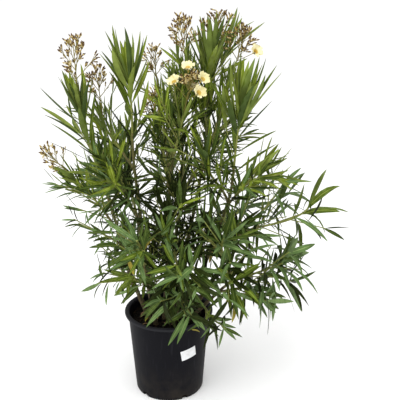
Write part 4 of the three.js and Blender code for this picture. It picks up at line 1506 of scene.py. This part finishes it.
def pot_plastic():
    """Black moulded plastic, dusty near the foot, with faint upright scuffs and a lighter band over the top
    of its lip.
    """
    finish, tree, shader = begin("pot_plastic", 0.5, 0.05)
    drawn = add_node(tree, "Mapping", Scale=(1, 1, 0.08))
    scuff = add_node(tree, "TexNoise", Scale=160, Detail=5)
    tree.links.new(coords(tree), drawn.inputs["Vector"])
    tree.links.new(drawn.outputs["Vector"], scuff.inputs["Vector"])
    scuffs = stretch(tree, scuff.outputs["Fac"], 0.56, 0.78)
    body = blend(tree, scuffs, (0.0058, 0.0058, 0.0078), (0.0125, 0.0125, 0.0155))
    patchy = tree.nodes.new("ShaderNodeMath")
    patchy.operation = "MULTIPLY"
    tree.links.new(stretch(tree, height_of(tree), 0.13, 0.0), patchy.inputs[0])
    tree.links.new(stretch(tree, cloud(tree, 26), 0.35, 0.75), patchy.inputs[1])
    dusty = blend(tree, patchy.outputs["Value"], body, (0.026, 0.022, 0.018))
    paint(tree, shader, stretch(tree, height_of(tree), 0.2595, 0.2625), dusty, (0.02, 0.02, 0.023))
    raise_skin(tree, shader, scuff.outputs["Fac"], 0.12, 0.0008)
    return finish


def soil_earth():
    """Near-black potting soil, browner where it is dry."""
    finish, tree, shader = begin("soil_earth", 0.95, 0.1)
    dry = stretch(tree, cloud(tree, 45), 0.42, 0.72)
    paint(tree, shader, dry, (0.002, 0.0015, 0.0009), (0.012, 0.008, 0.0045))
    raise_skin(tree, shader, cloud(tree, 320), 0.8, 0.002)
    return finish


def crumb_bark():
    """Dark crumbs with a few paler bits of bark, their own dark colours darkened further as painted shade
    under the crown.
    """
    finish, tree, shader = begin("crumb_bark", 0.9, 0.12)
    pale = stretch(tree, cloud(tree, 90, 1), 0.5, 0.74)
    # Painted shade: both colours are darker than the crumbs' own, for the crown's shade over the soil.
    paint(tree, shader, pale, (0.004, 0.0028, 0.0018), (0.032, 0.019, 0.01))
    raise_skin(tree, shader, cloud(tree, 500), 0.5, 0.001)
    return finish


def bark():
    """Grey-brown bark with pale flecks that turns olive green towards the young ends."""
    finish, tree, shader = begin("cane_bark", 0.8, 0.2)
    mottle = stretch(tree, cloud(tree, 110), 0.3, 0.7)
    old = blend(tree, mottle, (0.038, 0.029, 0.014), (0.1, 0.08, 0.038))
    young = blend(tree, mottle, (0.068, 0.07, 0.018), (0.14, 0.14, 0.042))
    paint(tree, shader, stretch(tree, height_of(tree), 0.36, 0.66), old, young)
    raise_skin(tree, shader, cloud(tree, 260), 0.6, 0.0012)
    return finish


def stem_finish(name, dark, pale):
    """The skin of young stems and stalks, mottled between two tones."""
    finish, tree, shader = begin(name, 0.6, 0.3)
    paint(tree, shader, stretch(tree, cloud(tree, 80), 0.3, 0.7), dark, pale)
    raise_skin(tree, shader, cloud(tree, 420), 0.2, 0.0005)
    return finish


def paper():
    """Plain white coated paper with the faintest stain."""
    finish, tree, shader = begin("sticker_paper", 0.42, 0.4)
    paint(tree, shader, stretch(tree, cloud(tree, 70), 0.45, 0.8), (0.74, 0.75, 0.76), (0.55, 0.55, 0.54))
    raise_skin(tree, shader, cloud(tree, 240), 0.15, 0.0006)
    return finish


def brighter(colour, times):
    """A colour that many times as bright."""
    return tuple(min(1, times * c) for c in colour)


def leaf_finish(name, colour, rough, veins=False):
    """A leaf's skin: paler at its root and mottled, with fine side veins raised across a blade."""
    finish, tree, shader = begin(name, rough, 0.05)
    mottle = stretch(tree, cloud(tree, 24, 2), 0.34, 0.66)
    skin = blend(tree, mottle, brighter(colour, 0.72), brighter(colour, 1.22))
    paint(tree, shader, stretch(tree, height_of(tree, "UV", "Y"), 0.22, 0.0), skin, brighter(colour, 1.5))
    if veins:
        place = coords(tree, "UV")
        wave = add_node(tree, "TexWave", Scale=14, Distortion=0.6)
        wave.bands_direction = "Y"
        tree.links.new(place, wave.inputs["Vector"])
        raise_skin(tree, shader, wave.outputs["Fac"], 0.22, 0.0004)
    return finish


def leaf_finishes():
    """Blade, rib and underside of every tint, in the order of the tints."""
    finishes = []
    for tint, (blade, rib, under) in TINTS.items():
        finishes.append(leaf_finish("leaf_" + tint, blade, 0.44, veins=True))
        finishes.append(leaf_finish("rib_" + tint, rib, 0.5))
        finishes.append(leaf_finish("under_" + tint, under, 0.6))
    return finishes


def petal_finish(name, dark, pale):
    """The soft skin of buds and petals."""
    finish, tree, shader = begin(name, 0.55, 0.25)
    paint(tree, shader, stretch(tree, cloud(tree, 60, 2), 0.35, 0.65), dark, pale)
    raise_skin(tree, shader, cloud(tree, 700), 0.1, 0.0003)
    return finish


# Studio and camera


def add_light(name, place, size, power):
    """A large soft light aimed at the plant's middle."""
    deselect()
    bpy.ops.object.light_add(type="AREA", location=place)
    light = bpy.context.object
    light.name = name
    light.data.shape = "DISK"
    light.data.size = size
    light.data.energy = power
    light.rotation_euler = (Vector(LIT_POINT) - Vector(place)).to_track_quat("-Z", "Y").to_euler()


def make_studio():
    """A pale floor that runs to the horizon, an even white surround, and soft lights."""
    deselect()
    bpy.ops.mesh.primitive_plane_add(size=FLOOR_SIZE, location=(0, FLOOR_SIZE / 4, 0))
    floor = bpy.context.object
    floor.name = "floor"
    finish, tree, shader = begin("floor_paint", 0.9, 0.1)
    paint(tree, shader, stretch(tree, cloud(tree, 3), 0.2, 0.8), (0.93, 0.93, 0.93), (0.96, 0.96, 0.96))
    floor.data.materials.append(finish)
    world = bpy.data.worlds.new("surround")
    world.use_nodes = True
    world.node_tree.nodes["Background"].inputs["Color"].default_value = (1, 1, 1, 1)
    world.node_tree.nodes["Background"].inputs["Strength"].default_value = SURROUND
    scene = bpy.context.scene
    scene.world = world
    scene.view_settings.view_transform = "Standard"
    scene.view_settings.look = "None"
    for light in LIGHTS:
        add_light(**light)


def make_camera():
    """The camera, which looks down on the plant from in front."""
    deselect()
    turn = (math.radians(90 - CAMERA_PITCH), 0, 0)
    bpy.ops.object.camera_add(location=CAMERA_PLACE, rotation=turn)
    camera = bpy.context.object
    camera.name = "camera"
    camera.data.lens = CAMERA_LENS
    camera.data.sensor_width = CAMERA_SENSOR
    camera.data.clip_end = CAMERA_REACH
    bpy.context.scene.camera = camera


def main():
    """Makes every piece, from the pot up to the bloom, and the studio around them."""
    pot = make_pot()
    make_soil()
    scatter_crumbs()
    make_sticker(pot)
    skin = bark()
    for cane in CANES:
        make_cane(cane, skin)
    stems, leaves = grow()
    make_stems(stems)
    leaf = leaf_shape()
    finishes = leaf_finishes()
    make_leaves(leaves, leaf, finishes)
    make_fallen(leaf, finishes)
    make_bloom()
    make_studio()
    make_camera()


main()
